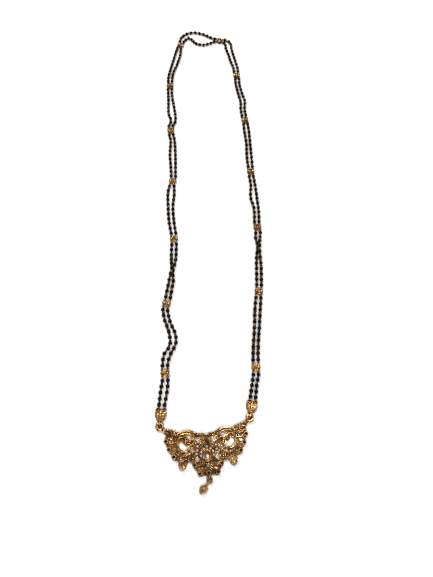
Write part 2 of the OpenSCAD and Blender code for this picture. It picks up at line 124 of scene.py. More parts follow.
# %% A material that collects its nodes
class Finish:
    """One material under construction."""

    def __init__(self, name):
        self.material = bpy.data.materials.new(name)
        self.material.use_nodes = True
        self.tree = self.material.node_tree
        self.tree.nodes.clear()

    def node(self, kind, settings=None, values=None, out=0):
        made = self.tree.nodes.new(kind)
        for name, value in (settings or {}).items():
            setattr(made, name, value)
        for key, value in (values or {}).items():
            if isinstance(value, Socket):
                self.tree.links.new(value.out, made.inputs[key])
            else:
                made.inputs[key].default_value = value
        return Socket(self, made.outputs[out])

    def place(self):
        """The point's place in the object's own frame, in metres."""
        return self.node("ShaderNodeTexCoord", out="Object")

    def noise(self, scale, detail=3.0, rough=0.55):
        return self.node(
            "ShaderNodeTexNoise", {},
            {"Vector": self.place(), "Scale": scale, "Detail": detail, "Roughness": rough},
        )

    def mix(self, share, first, second):
        """first where share is 0, second where it is 1."""
        return self.node(
            "ShaderNodeMix", {"data_type": "RGBA"}, {0: share, 6: first, 7: second}, out=2,
        )

    def hollow(self, reach):
        """1 deep in a recess, 0 on an open face."""
        open_sky = self.node(
            "ShaderNodeAmbientOcclusion", {"samples": 6}, {"Distance": reach}, out="AO",
        )
        return 1.0 - open_sky

    def bump(self, height, strength, distance):
        return self.node(
            "ShaderNodeBump", {}, {"Height": height, "Strength": strength, "Distance": distance},
        )

    def surface(self, values):
        shader = self.node("ShaderNodeBsdfPrincipled", {}, values)
        end = self.tree.nodes.new("ShaderNodeOutputMaterial")
        self.tree.links.new(shader.out, end.inputs["Surface"])
        return self.material


print("a finish offers:", ", ".join(name for name in vars(Finish) if name[0] != "_"))

# %% Colours by their display values
def rgb(red, green, blue):
    """A colour from its 0 to 255 display values, as the linear values that sockets take."""
    parts = [v / 255 for v in (red, green, blue)]
    return [v / 12.92 if v < 0.04045 else ((v + 0.055) / 1.055) ** 2.4 for v in parts] + [1.0]


print("a mid brown reads", [round(v, 3) for v in rgb(135, 95, 50)])

# %% [markdown]
# ## The gold
#
# The real gold is an aged one: what stands proud is rubbed warm and bright, and brown patina
# has settled in what lies deep. It could be painted on, but every change of a granule would
# mean painting again. Ambient occlusion finds the hollows by itself, so the darkening follows
# the relief: it paints the patina there and also the shade that falls into the hollows. On
# the crescent the height over the plate darkens the low ground as well, again painted shade
# with patina, and a noise stains it in patches. A broad noise and a fine one give the slight
# unevenness of metal that was cast and polished by hand.

# %% How aged gold and its painted shade are built up
HOLLOW_REACH = 0.0011
BLOTCH, GRAIN, BIG_STAIN, SMALL_STAIN = 420.0, 5200.0, 270.0, 800.0
GRAIN_DEPTH = 0.00005


def gold(name, bright, dull, patina, polish, hollow_onset, patches=0.0, ground=None):
    """Metal with patina and painted shade where the sky is hidden, stains in patches and, if asked,
    painted shade on low ground.
    """
    f = Finish(name)
    broad = f.noise(BLOTCH)
    grain = f.noise(GRAIN, 2.0)
    # Where the sky is hidden the colour runs to the patina colour: patina, and painted shade in the
    # hollows.
    deep = f.hollow(HOLLOW_REACH).ramp(hollow_onset, hollow_onset + 0.5)
    # Low ground under the raised work gets painted shade along with its patina.
    if ground:
        height = f.node("ShaderNodeSeparateXYZ", {}, {0: f.place()}, out="Z")
        low = 1.0 - height.ramp(ground[0] / 1000, ground[1] / 1000)
        deep = deep + 0.75 * low * (1.0 - deep)
    if patches:
        stain = 0.45 * f.noise(BIG_STAIN, 2.0) + 0.55 * f.noise(SMALL_STAIN, 1.0)
        deep = deep + patches * stain.ramp(0.44, 0.57) * (1.0 - deep)
    tone = f.mix(broad.ramp(0.38, 0.66), dull, bright)
    return f.surface({
        "Base Color": f.mix(deep, tone, patina),
        "Metallic": 1.0,
        "Roughness": polish + 0.14 * broad + 0.16 * deep,
        "Normal": f.bump(0.65 * grain + 0.35 * broad, 0.4, GRAIN_DEPTH),
    })


print("patina settles within", 1000 * HOLLOW_REACH, "mm of a wall")

# %% [markdown]
# One recipe serves all the gold, and each piece has its own numbers: a bright tone, a dull
# one and the colour of patina and painted shade between them, how polished it is, and how
# deep a hollow must be before it darkens. Granules and wires are the brightest, because a
# cloth rubs them first. They are also a little rougher than a mirror, or each would show the
# lamps as one tiny dot.

# %% Every gold on the necklace
# The crescent's low ground is darkened as well: painted shade with patina.
pendant_gold = gold(
    "pendant_gold", rgb(191, 145, 90), rgb(151, 105, 60), rgb(46, 24, 8),
    polish=0.15, hollow_onset=0.06, patches=0.3, ground=(1.25, 1.7),
)
cast_gold = gold(
    "cast_gold", rgb(174, 132, 82), rgb(138, 96, 56), rgb(50, 27, 10),
    polish=0.14, hollow_onset=0.06, patches=0.2,
)
grain_gold = gold(
    "grain_gold", rgb(252, 222, 172), rgb(228, 184, 128), rgb(32, 16, 6),
    polish=0.22, hollow_onset=0.05, patches=0.95,
)
bright_gold = gold(
    "bright_gold", rgb(244, 216, 170), rgb(196, 156, 106), rgb(64, 36, 14),
    polish=0.25, hollow_onset=0.12, patches=0.35,
)
rim_gold = gold(
    "rim_gold", rgb(244, 214, 166), rgb(166, 124, 78), rgb(44, 24, 9),
    polish=0.22, hollow_onset=0.08, patches=0.6,
)
# A duller gold. On the crescent's left half it is painted shade for that half.
dull_gold = gold(
    "dull_gold", rgb(206, 164, 108), rgb(150, 106, 60), rgb(48, 26, 10),
    polish=0.22, hollow_onset=0.08, patches=0.5,
)
leaf_gold = gold(
    "leaf_gold", rgb(168, 134, 90), rgb(134, 100, 62), rgb(52, 30, 12),
    polish=0.3, hollow_onset=0.15, patches=0.4,
)
pad_gold = gold(
    "pad_gold", rgb(196, 142, 84), rgb(170, 116, 64), rgb(120, 76, 38),
    polish=0.45, hollow_onset=0.5,
)
wire_gold = gold(
    "wire_gold", rgb(184, 140, 90), rgb(76, 49, 25), rgb(31, 18, 7),
    polish=0.22, hollow_onset=0.08,
)
spacer_gold = gold(
    "spacer_gold", rgb(144, 104, 60), rgb(104, 72, 38), rgb(40, 21, 8),
    polish=0.16, hollow_onset=0.05, patches=0.5,
)
# Darker than the plain cast gold: painted shade for the caps' cups.
cap_gold = gold(
    "cap_gold", rgb(160, 120, 74), rgb(120, 84, 48), rgb(44, 24, 9),
    polish=0.16, hollow_onset=0.05, patches=0.35,
)
print("gold finishes:", *[m.name for m in bpy.data.materials])

# %% [markdown]
# ## Glass and stones
#
# The beads are black glass. A low index of refraction keeps the white surface from washing
# them grey, and only the lamps show as small points. The rim's stones are nearly black and
# the inner ones a pale grey-white. Real clear stones bend the light many times, which needs
# many samples and wouldn't survive the export. A pale, partly metallic facet throws the light
# back much as a foiled stone does.

# %% Glass and stone finishes
CLOUD, CLOUD_DEPTH = 900.0, 0.00002


def glass(name, colour, tint, rough, extra):
    """Smooth and hard, with a faint cloudiness in colour and gloss."""
    f = Finish(name)
    cloud = f.noise(CLOUD)
    values = {
        "Base Color": f.mix(cloud.ramp(0.35, 0.7), colour, tint),
        "Roughness": rough + 0.08 * cloud,
        "Normal": f.bump(cloud, 0.2, CLOUD_DEPTH),
    }
    values.update(extra)
    return f.surface(values)


black_glass = glass(
    "black_glass", rgb(5, 2, 1), rgb(11, 5, 2), 0.08,
    {"IOR": 1.13, "Specular IOR Level": 0.5},
)
dark_gem = glass(
    "dark_gem", rgb(6, 6, 9), rgb(16, 19, 28), 0.03,
    {"IOR": 1.6, "Specular IOR Level": 0.4},
)
pale_gem = glass(
    "pale_gem", rgb(234, 227, 216), rgb(206, 198, 187), 0.04,
    {"IOR": 1.76, "Specular IOR Level": 0.8, "Metallic": 0.62},
)
print("stones and beads:", black_glass.name, dark_gem.name, pale_gem.name)

# %% [markdown]
# ## Mesh tools
#
# The trim is thousands of tiny shapes: granules, wires, beads, links. Made one object each,
# they would be slow to draw. A `Pile` gathers their points and faces in plain lists instead,
# and makes one mesh of them at the end. It also hangs that piece on the root, and hides the
# plain nodes it replaces.

# %% One mesh from many small shapes
class Pile:
    """The vertices and faces of many small shapes, in mm, for one joined piece."""

    def __init__(self):
        self.points, self.faces, self.count = [], [], 0

    def add(self, shape):
        points, faces = shape
        self.points.append(np.asarray(points, float))
        self.faces += [[i + self.count for i in face] for face in faces]
        self.count += len(points)

    def piece(self, name, material, slot, stands_for=(), smooth=True):
        """Joins the pile into one named mesh, which may stand for nodes of the part."""
        mesh = bpy.data.meshes.new(name)
        mesh.from_pydata((np.concatenate(self.points) / 1000).tolist(), [], self.faces)
        mesh.polygons.foreach_set("use_smooth", [smooth] * len(mesh.polygons))
        mesh.materials.append(material)
        mesh.validate()
        made = bpy.data.objects.new(name, mesh)
        bpy.context.scene.collection.objects.link(made)
        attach(made, "root")
        if stands_for:
            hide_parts(*stands_for)
        triangles = sum(len(face) - 2 for face in self.faces)
        print(f"{name}: {len(self.points)} shapes, {triangles} triangles")


print("a new pile holds", len(Pile().points), "shapes")

# %% [markdown]
# Beads, granules and rings are round, so they are turned as on a lathe: a profile of radii
# and heights goes round an axis. Ready-made spheres would give poles with many thin faces and
# no drilled hole. `place` then sets a shape down by the directions of its three axes.

# %% Turned shapes
def lathe(profile, sides, closed=False):
    """Turns (radius, height) points round Z; the outside is listed from below upwards."""
    p = np.array(profile, float)
    turn = np.arange(sides) * 2 * np.pi / sides
    rings = [np.column_stack([r * np.cos(turn), r * np.sin(turn), np.full(sides, z)]) for r, z in p]
    n = len(p)
    faces = []
    for i in range(n if closed else n - 1):
        a, b = i * sides, (i + 1) % n * sides
        for j in range(sides):
            k = (j + 1) % sides
            faces.append((a + j, a + k, b + k, b + j))
    if not closed:
        faces.append(tuple(range(sides))[::-1])
        faces.append(tuple((n - 1) * sides + j for j in range(sides)))
    return np.concatenate(rings), faces


def ring(middle, wire, around=14, sides=6):
    """A ring of round wire about Z."""
    a = np.arange(sides) * 2 * np.pi / sides
    section = np.column_stack([middle + wire * np.cos(a), wire * np.sin(a)])
    return lathe(section, around, closed=True)


def ball(radius, flat=1.0, sides=8, rows=5):
    """A small round granule."""
    a = np.linspace(-80, 80, rows) * np.pi / 180
    return lathe(np.column_stack([radius * np.cos(a), flat * radius * np.sin(a)]), sides)


def place(shape, at, x=(1, 0, 0), y=(0, 1, 0), z=(0, 0, 1)):
    """A shape set down at a point, its own axes along x, y and z."""
    points, faces = shape
    return points @ np.array([x, y, z], float) + np.array(at, float), faces


print("a granule has", len(ball(1.0)[1]), "faces, a wire eye", len(ring(0.45, 0.14)[1]))

# %% [markdown]
# Wire is a small circle carried along a path. A curve object with a bevel would do it too,
# but it can't join a pile, and its twist is Blender's own choice. `along` spaces points
# evenly, which is also how granules are strung.

# %% Wire and even spacing
def wire(path, radius, sides=6, closed=False):
    """A round wire along a path of points."""
    p = np.array(path, float)
    way = np.roll(p, -1, 0) - np.roll(p, 1, 0) if closed else np.gradient(p, axis=0)
    way /= np.linalg.norm(way, axis=1)[:, None]
    side = np.cross([0.0, 0.0, 1.0], way)
    side /= np.linalg.norm(side, axis=1)[:, None]
    up = np.cross(way, side)
    a = np.arange(sides) * 2 * np.pi / sides
    points = np.concatenate([p + radius * (math.cos(t) * side + math.sin(t) * up) for t in a])
    n = len(p)
    faces = []
    for j in range(sides):
        k = (j + 1) % sides
        for i in range(n if closed else n - 1):
            m = (i + 1) % n
            faces.append((j * n + i, j * n + m, k * n + m, k * n + i))
    if not closed:
        faces.append(tuple(j * n for j in range(sides))[::-1])
        faces.append(tuple(j * n + n - 1 for j in range(sides)))
    return points, faces


def along(path, pitch, closed=False):
    """Points at an even pitch along a path, both ends included."""
    p = np.array(path, float)
    if closed:
        p = np.concatenate([p, p[:1]])
    run = np.concatenate([[0], np.cumsum(np.linalg.norm(np.diff(p, axis=0), axis=1))])
    n = max(1, round(run[-1] / pitch))
    at = np.linspace(0, run[-1], n + 1)[: n if closed else n + 1]
    return np.column_stack([np.interp(at, run, p[:, k]) for k in range(p.shape[1])])


print("points on 10 mm at a pitch of 2:", len(along([(0, 0), (10, 0)], 2)))

# %% [markdown]
# ## Where the rows run
#
# Two strings of beads were laid on a table by hand, so each run between two spacers has its
# own small bends, and at two places one row climbs over the other. A simulated rope would
# find bends of its own, not these. So each run passes a few listed points instead, on the
# same curve as the plain strands of the part's source, and the beads lie inside the tested
# shape. A station is a cap or a spacer: its place and its heading in degrees. The two caps'
# places follow from the pendant's, further down. Each point of a run is x, y and lift.

# %% Stations and the rows' points
ROW_GAP, BEAD_D, ROW_Z = 2.7, 2.3, 1.15
STATIONS = [
    (None, None, 87), (-22.4, -102.2, 95), (-23.5, -63.2, 78), (-21.0, -21.6, 95),
    (-23.4, 20.4, 84), (-26.3, 62.3, 96), (-28.6, 103.8, 91), (-22.6, 145.2, 76),
    (6.5, 150.2, -8), (18.7, 113.8, -84), (23.5, 71.7, -82), (26.2, 28.0, -87),
    (28.9, -13.6, -85), (28.1, -55.7, -95), (24.9, -99.1, -89), (None, None, -101),
]
OUTER = [
    [(-24.2, -111, 0)],
    [(-23.5, -92.5, 0), (-20.5, -87, 0), (-21.5, -79.5, 0), (-24, -73, 0)],
    [(-23.3, -53.5, 0), (-22.6, -49.5, 1), (-21.9, -46.3, 2.1), (-21.2, -43.2, 2.5),
     (-21.5, -40, 2.2), (-21.8, -36, 0.9), (-22.1, -31, 0)],
    [(-24.5, -9, 0), (-25.5, 2, 0), (-26, 11, 0)],
    [(-25, 31, 0), (-26, 42, 0), (-26, 53, 0)],
    [(-26.5, 71, 0), (-28.5, 77.5, 0), (-29, 88, 0)],
    [(-30, 112.5, 0), (-28.5, 122, 0), (-26.5, 133, 0)],
    [(-22.5, 152.5, 0), (-18.5, 157.5, 0), (-12, 159, 0), (-5.5, 157, 0), (0, 153.5, 0)],
    [(12.5, 150, 0), (14.8, 147, 0), (15.5, 140.5, 0), (17.5, 131, 0), (19.5, 121, 0)],
    [(20.6, 105, 0), (22.2, 96, 0), (24, 89, 0), (23.6, 81, 0)],
    [(26, 61.5, 0), (26.5, 51, 0), (27, 40, 0)],
    [(28.6, 17, 0), (29.5, 6.5, 0), (30.1, -3, 0)],
    [(30.1, -20.5, 0.6), (29.7, -24, 2), (29.5, -27, 2.4), (29.4, -30.5, 2.2), (29.6, -34, 1.4),
     (30, -38, 0.1), (30, -43, 0)],
    [(28.5, -66.5, 0), (27.5, -77.5, 0), (26.5, -88, 0)],
    [(25, -108.5, 0)],
]
INNER = [
    [(-20.9, -111, 0)],
    [(-20.5, -93.5, 0), (-17.5, -86.5, 0), (-18, -80.5, 0), (-21, -74, 0)],
    [(-20.8, -54, 0), (-20.2, -50.5, 0), (-20.4, -47, 0), (-20.8, -43.5, 0), (-20.1, -40, 0),
     (-19.4, -36, 0), (-19.3, -31, 0)],
    [(-21.5, -9, 0), (-22.5, 1.5, 0), (-22, 10, 0)],
    [(-22, 30.5, 0), (-22.5, 42, 0), (-23.4, 53, 0)],
    [(-23.5, 71, 0), (-24.5, 80.5, 0), (-26.5, 92, 0)],
    [(-27, 114.5, 0), (-24.5, 124.5, 0), (-22.5, 133.5, 0)],
    [(-19.5, 150, 0), (-17, 153, 0), (-14, 151, 0), (-11.5, 147.5, 0),
     (-6, 145.5, 0), (-0.5, 147.2, 0)],
    [(10.9, 145.8, 0), (11.3, 141.5, 0), (13, 135.5, 0), (14.5, 128.5, 0), (16.5, 121.5, 0)],
    [(17.9, 105.5, 0), (19.4, 96.5, 0), (21, 88.5, 0), (21, 81, 0)],
    [(23, 61.5, 0), (24, 51, 0), (24, 40.5, 0)],
    [(25.9, 17.5, 0), (25.5, 8, 0), (27.3, 0, 0)],
    [(27.4, -20, 0), (28, -23.3, 0), (28.5, -26.5, 0), (28.2, -30, 0), (27.6, -33.5, 0),
     (27.4, -38, 0), (27.3, -43, 0)],
    [(25.5, -66.5, 0), (25, -76, 0), (24, -87, 0)],
    [(22.5, -108.5, 0)],
]
RUNS = len(OUTER)
print(len(STATIONS), "stations,", RUNS, "runs a row")

# %% [markdown]
# Each cap hooks one of the pendant's end rings. On the real necklace the pull of the strings
# decides where the hook touches the ring, so a cap's place isn't typed in: it starts from
# the ring's middle, goes out along the pull, and adds the hook's length. If the pendant
# turns, the caps go with it.

# %% Where the caps hook the end rings
PENDANT_AT, PENDANT_TURN = np.array([-1.45, -127.0]), 5.4
PENDANT_HALF, PENDANT_DEEP, PLATE = 20, 25, 1.2
CAP_LEN, CAP_W, CUP_D = 6.6, 5.8, 2.6
RING_D, RING_WIRE = 4.4, 1.4
HOOK_WIRE, HOOK_ROOM = 0.55, 0.32
CAP_TIP = -CAP_LEN / 2 + 0.1
CUP_X, CUP_Y = CAP_LEN / 2 - CUP_D / 2 + 0.1, (CAP_W - CUP_D) / 2 - 0.1
RING_U = PENDANT_HALF + RING_D / 2 + 0.2
LEFT, RIGHT = -1, 1
PULLS = {LEFT: 92, RIGHT: 76}
CAP_TURNS = {LEFT: 87, RIGHT: 79}


def ahead(angle):
    """The direction at an angle in degrees."""
    return np.array([math.cos(math.radians(angle)), math.sin(math.radians(angle))])


def aside(angle):
    """The direction to the left of it."""
    return np.array([-math.sin(math.radians(angle)), math.cos(math.radians(angle))])


def cap_place(side):
    """Where a cap lies when its hook hangs in the pendant's end ring."""
    hook = RING_WIRE / 2 + HOOK_WIRE / 2 + HOOK_ROOM
    end_ring = PENDANT_AT + side * RING_U * ahead(PENDANT_TURN)
    touch = end_ring + (RING_D - RING_WIRE) / 2 * ahead(PULLS[side])
    return touch - (CAP_TIP - hook + 0.1) * ahead(CAP_TURNS[side])


left_cap, right_cap = cap_place(LEFT), cap_place(RIGHT)
STATIONS[0] = (*left_cap, CAP_TURNS[LEFT])
STATIONS[-1] = (*right_cap, CAP_TURNS[RIGHT] - 180)
print("caps at", np.round(left_cap, 2), np.round(right_cap, 2))

# %% [markdown]
# A row leaves a station in the direction of its heading, because the loop that holds it
# points that way. A spline through the listed points alone would leave at any angle. One
# more point before the start and after the end, on the heading's line, makes the curve set
# out straight. No bead may sink into the table, so the curve never dips below a bead's
# radius.

# %% The rows' middle lines
SPACER_REACH, CAP_REACH = 2.9, CUP_X + CUP_D / 2 + 0.3
LEAD = 4


def seat(i, side, way):
    """Where a row starts (way 1) or ends (way -1) at station i; side 1 is the outer row."""
    x, y, heading = STATIONS[i]
    reach = CAP_REACH if i in (0, len(STATIONS) - 1) else SPACER_REACH
    p = np.array([x, y]) + side * ROW_GAP / 2 * aside(heading) + way * reach * ahead(heading)
    return [*p, ROW_Z]


def run_curve(route, i, side):
    """The middle line of run i, finely sampled."""
    p = [seat(i, side, 1), *[(x, y, z + ROW_Z) for x, y, z in route[i]], seat(i + 1, side, -1)]
    p = np.array(p)
    start, end = ahead(STATIONS[i][2]), ahead(STATIONS[i + 1][2])
    q = np.vstack([p[0] - LEAD * np.append(start, 0), p, p[-1] + LEAD * np.append(end, 0)])
    t = np.linspace(0, 1, 25)[:-1, None]
    line = []
    for a, b, c, d in zip(q, q[1:], q[2:], q[3:]):
        line.append((2 * b + (c - a) * t + (2 * a - 5 * b + 4 * c - d) * t * t
                     + (3 * b - a - 3 * c + d) * t ** 3) / 2)
    curve = np.vstack([*line, p[-1]])
    curve[:, 2] = np.maximum(curve[:, 2], ROW_Z)
    return curve


for name, route, side in (("outer", OUTER, 1), ("inner", INNER, -1)):
    curves = [run_curve(route, i, side) for i in range(RUNS)]
    lengths = [np.linalg.norm(np.diff(c, axis=0), axis=1).sum() for c in curves]
    print(name, "runs in mm:", [round(v, 1) for v in lengths], "sum", round(sum(lengths), 1))

# %% [markdown]
# ## Beads and links
#
# The real strings aren't threaded: every bead sits on its own short pin, the pin ends in an
# eye on either side, and neighbouring eyes pass through one another. Instances along a curve
# would give even beads with nothing between them. Here each bead is turned with a drilled
# hole and a size that is a little its own, as pressed glass has.

# %% A drilled bead
BEAD_HALF, BORE, CHAMFER = 1.07, 0.34, (0.04, 0.06)
draw = np.random.default_rng(11)


def bead_shape(radius, half):
    """A round bead with a drilled hole along Z, as a closed turned shape."""
    last = math.acos(BORE / radius)
    a = np.linspace(-last, last, 10)
    out = np.column_stack([radius * np.cos(a), half * np.sin(a) / math.sin(last)])
    narrow, deep = BORE - CHAMFER[0], half - CHAMFER[1]
    return lathe(np.vstack([out, [(narrow, deep), (narrow, -deep)]]), 14, closed=True)


print("a bead has", len(bead_shape(BEAD_D / 2, BEAD_HALF)[1]), "faces")

# %% [markdown]
# The beads of a run share its length evenly. The end eyes stay a fixed way off, straight
# behind the first bead and ahead of the last one, where the loop of a spacer or cap is.

# %% Where the beads of a run sit
END_EYE_AT, END_ROOM = 1.58, 1.05
RUN_BEADS, END_RUN_BEADS = 11, 5


def frame_of(way, roll=0.0):
    """Side and up directions about a way, turned about it by roll."""
    side = np.cross([0.0, 0.0, 1.0], way)
    side /= np.linalg.norm(side)
    up = np.cross(way, side)
    return (math.cos(roll) * side + math.sin(roll) * up,
            -math.sin(roll) * side + math.cos(roll) * up)


def bead_places(route, i, side):
    """The bead centres of one run, with the points where its outermost eyes stand."""
    line = run_curve(route, i, side)
    run = np.concatenate([[0], np.cumsum(np.linalg.norm(np.diff(line, axis=0), axis=1))])
    n = END_RUN_BEADS if i in (0, RUNS - 1) else RUN_BEADS
    at = np.linspace(END_ROOM, run[-1] - END_ROOM, n)
    centres = np.column_stack([np.interp(at, run, line[:, k]) for k in range(3)])
    first, last = ahead(STATIONS[i][2]), ahead(STATIONS[i + 1][2])
    before = centres[0] - END_EYE_AT * np.append(first, 0)
    after = centres[-1] + END_EYE_AT * np.append(last, 0)
    return centres, before, after


sample, _, _ = bead_places(OUTER, 4, 1)
print("pitch in run 4:", round(float(np.linalg.norm(sample[1] - sample[0])), 2), "mm")

# %% [markdown]
# Two linked eyes stand at right angles, and on the table the pair rolls to one side, each
# pair a little differently. Each eye is drawn out sideways, as hammered wire eyes are. Its
# radius follows the gap between the beads, and its wire stays under half of that radius, so
# that one eye passes through the other with air round it. The first and the last eye of a
# run are narrower, stand upright and hook the loop there. The other rolls are limited, since
# one of the wide eyes would poke through the table if it stood quite upright.

# %% Beads, eyes and pins of a run
EYE_R, EYE_WIRE, END_EYE_R, END_EYE_WIRE = 0.44, 0.2, 0.47, 0.165
EYE_WIDE, END_EYE_WIDE = 2.0, 1.4
ROLL, ROLL_SPREAD, ROLL_LIMITS, END_ROLL_SPREAD = 0.8, 0.3, (0.52, 1.05), 0.07
PIN_WIRE, SIZE_SPREAD = 0.16, 0.018
EYES_OVERLAP, WIRE_SHARE, EYE_AIR = 0.24, 0.46, 0.01


def eye(pile, at, way, normal, middle, thick, wide):
    """One wire eye: it lies in the plane of way, square to normal, and is drawn out sideways."""
    pile.add(place(ring(middle, thick), at, way, wide * np.cross(normal, way), normal))


def string_run(beads, links, route, i, side):
    """The beads of run i, with two eyes and a pin for each."""
    centres, before, after = bead_places(route, i, side)
    n = len(centres)
    chain = np.vstack([before, centres, after])
    rolls = np.clip(draw.normal(ROLL, ROLL_SPREAD, n + 1), *ROLL_LIMITS)
    rolls[[0, -1]] = draw.normal(0.0, END_ROLL_SPREAD, 2)
    for k in range(n):
        middle = centres[k]
        ends = []
        for step in (-1, 1):
            way = chain[k + 1 + step] - middle
            gap = np.linalg.norm(way)
            way /= gap
            outermost = k + step in (-1, n)
            if outermost:
                room, thick, reach, wide = END_EYE_R, END_EYE_WIRE, END_EYE_AT, END_EYE_WIDE
            else:
                room = min(EYE_R, (gap - 2 * BEAD_HALF + EYES_OVERLAP) / 4)
                thick = min(EYE_WIRE, WIRE_SHARE * room)
                reach, wide = gap / 2 - room + thick + EYE_AIR, EYE_WIDE
            across, up = frame_of(way * step, rolls[k if step < 0 else k + 1])
            normal = across if step < 0 or outermost else up
            eye(links, middle + reach * way, way, normal, room, thick, wide)
            ends.append(middle + (reach - room) * way)
        axis = (ends[1] - ends[0]) / np.linalg.norm(ends[1] - ends[0])
        across, up = frame_of(axis)
        size = 1 - abs(draw.normal(0.0, SIZE_SPREAD))
        shape = bead_shape(BEAD_D / 2 * size, BEAD_HALF * size)
        beads.add(place(shape, middle, across, up, axis))
        links.add(wire(np.linspace(ends[0], ends[1], 3), PIN_WIRE))


for name, route, side in (("outer", OUTER, 1), ("inner", INNER, -1)):
    beads, links = Pile(), Pile()
    for i in range(RUNS):
        string_run(beads, links, route, i, side)
    beads.piece(name + "_beads", black_glass, "black_bead", [name + "_bead_row"])
    links.piece(name + "_links", wire_gold, "gold", [name + "_bead_row"])

# %% [markdown]
# ## The bench
#
# A goldsmith lays wire and granules on the casting by eye. Most of these paths are arcs, and
# drawn lines whose corners are rounded off, so two helpers make them from few numbers.

# %% Arcs and rounded paths
def circle(radius, start=0, stop=360, steps=48, at=(0, 0)):
    """Points on an arc, from one angle to another in degrees."""
    a = np.radians(np.linspace(start, stop, steps))
    return np.column_stack([at[0] + radius * np.cos(a), at[1] + radius * np.sin(a)])


def rounded(path, times=2, closed=False):
    """A path with its corners cut, again and again."""
    p = np.array(path, float)
    for _ in range(times):
        a, b = (p, np.roll(p, -1, 0)) if closed else (p[:-1], p[1:])
        q = np.stack([0.75 * a + 0.25 * b, 0.25 * a + 0.75 * b], axis=1).reshape(-1, p.shape[1])
        p = q if closed else np.vstack([p[:1], q, p[-1:]])
    return p


print("a rounded corner has", len(rounded([(0, 0), (1, 0), (1, 1)])), "points")

# %% [markdown]
# Trim has to touch what carries it. Heights typed in by hand would leave granules floating
# over a hollow or drowned in a ridge, so a `Bench` casts a ray down on the packed casting and
# lays each shape on the real surface, in the casting's own frame. Where the ray falls through
# an opening, nothing is laid. It also remembers what is taken, so that the field of fine
# granules fills only the ground that is still free.

# %% The bench
SUNK, FLOOR_LEVEL, FIELD_LEVEL = 0.3, 0.3, 1.0


class Bench:
    """A casting's own frame and the height of its surface, in mm."""

    def __init__(self, node, x, y, heading):
        mesh = cad[node].data
        self.tree = BVHTree.FromPolygons(
            [v.co for v in mesh.vertices], [tuple(p.vertices) for p in mesh.polygons])
        self.at, self.way, self.taken = np.array([x, y]), ahead(heading), []

    def world(self, p):
        p = np.array(p, float)
        along_it, across = self.way, np.array([-self.way[1], self.way[0]])
        return self.at + p[..., :1] * along_it + p[..., 1:2] * across

    def top(self, xy):
        """The height under a point of the world, or None over an opening."""
        hit = self.tree.ray_cast(Vector((xy[0] / 1000, xy[1] / 1000, 0.05)), Vector((0, 0, -1)))[0]
        return None if hit is None else 1000 * hit.z

    def grains(self, pile, path, radius, pitch, closed=False, flat=0.85, keep=None):
        """A string of granules along a path, each sunk a little into the surface."""
        for p in along(path, pitch, closed):
            xy = self.world(p)
            z = self.top(xy)
            if z is not None and z > FLOOR_LEVEL and (keep is None or keep(p)):
                size = radius * draw.uniform(0.9, 1.06)
                pile.add(place(ball(size, flat), [*xy, z + SUNK * size]))
                self.taken.append((*p, radius))

    def fill(self, pile, low, high, radius, pitch, keep):
        """Granules set close together wherever the surface is still free."""
        rows = np.arange(low[1], high[1], 0.87 * pitch)
        spots = np.array([(u + (k % 2) * pitch / 2, v) for k, v in enumerate(rows)
                          for u in np.arange(low[0], high[0], pitch)])
        for p in spots + draw.normal(0.0, 0.06, spots.shape):
            rim = [p, *(p + circle(0.7 * radius, 0, 300, 6))]
            heights = [self.top(self.world(q)) or 0.0 for q in rim]
            others = np.array(self.taken)
            room = (np.linalg.norm(others[:, :2] - p, axis=1) - others[:, 2]).min()
            if min(heights) > FIELD_LEVEL and room > 0.68 * radius and keep(p):
                size = radius * draw.uniform(0.85, 1.08)
                z = np.median(heights) + SUNK * size
                pile.add(place(ball(size, 0.95), [*self.world(p), z]))
                self.taken.append((*p, radius))

    def wire(self, pile, path, radius, closed=False, high=0.35):
        """A wire laid along a path; it bridges what it crosses smoothly."""
        p = along(path, 0.25, closed)
        self.taken += [(*q, radius) for q in p]
        xy = self.world(p)
        z = np.array([self.top(q) or 0.0 for q in xy])
        z[z < FLOOR_LEVEL] = np.median(z)
        spread = np.pad(z, 2, mode="wrap" if closed else "edge")
        raised = np.max([spread[k:len(z) + k] for k in range(5)], axis=0)
        spread = np.pad(raised, 2, mode="wrap" if closed else "edge")
        z = np.mean([spread[k:len(z) + k] for k in range(5)], axis=0)
        pile.add(wire(np.column_stack([xy, z + high * radius]), radius, closed=closed))

    def boss(self, pile, at, length, width, height, turn):
        """A polished oval, domed, laid on the surface."""
        for share in (-0.5, 0, 0.5):
            spot = np.array(at) + share * (length - width) * ahead(turn)
            self.taken.append((*spot, width / 2))
        xy = self.world(at)
        z = self.top(xy) or PLATE
        heading = math.degrees(math.atan2(self.way[1], self.way[0])) + turn
        a, b = ahead(heading), aside(heading)
        points, faces = ball(1.0, 1.0, 14, 7)
        points = points * [length / 2, width / 2, height]
        pile.add(place((points, faces), [*xy, z], (*a, 0), (*b, 0)))


print("granules sink to", 1 - SUNK, "of their radius under their middle")

# %% [markdown]
# ## Spacers
#
# A spacer is a small cast bar that keeps the two strings apart. In the photo each one is a
# few bright points round a darker middle. One sculpted mesh for all fourteen would bury that
# in a smooth lump, so the cast body stays and gets what makes the points: on each wing a
# polished dome inside a beaded collar, and on the knot between them a dome on top and a few
# granules at either waist.

# %% Domes and collars on the spacers
collars, domes = Pile(), Pile()
for k, (x, y, heading) in enumerate(STATIONS[1:-1]):
    bench = Bench(f"spacer_{k + 1:02d}", x, y, heading)
    for side in (-1, 1):
        wing = (0, side * ROW_GAP / 2)
        bench.boss(domes, wing, 1.15, 1.0, 0.3, 0)
        bench.grains(collars, circle(0.93, at=wing)[:-1], 0.2, 0.48, closed=True)
    bench.boss(domes, (0, 0), 1.0, 0.62, 0.26, 90)
    for way in (-1, 1):
        bench.grains(collars, [(way * 0.95, 0), (way * 1.75, 0)], 0.27, 0.62)
domes.piece("spacer_domes", dull_gold, "gold")
collars.piece("spacer_collars", dull_gold, "gold")
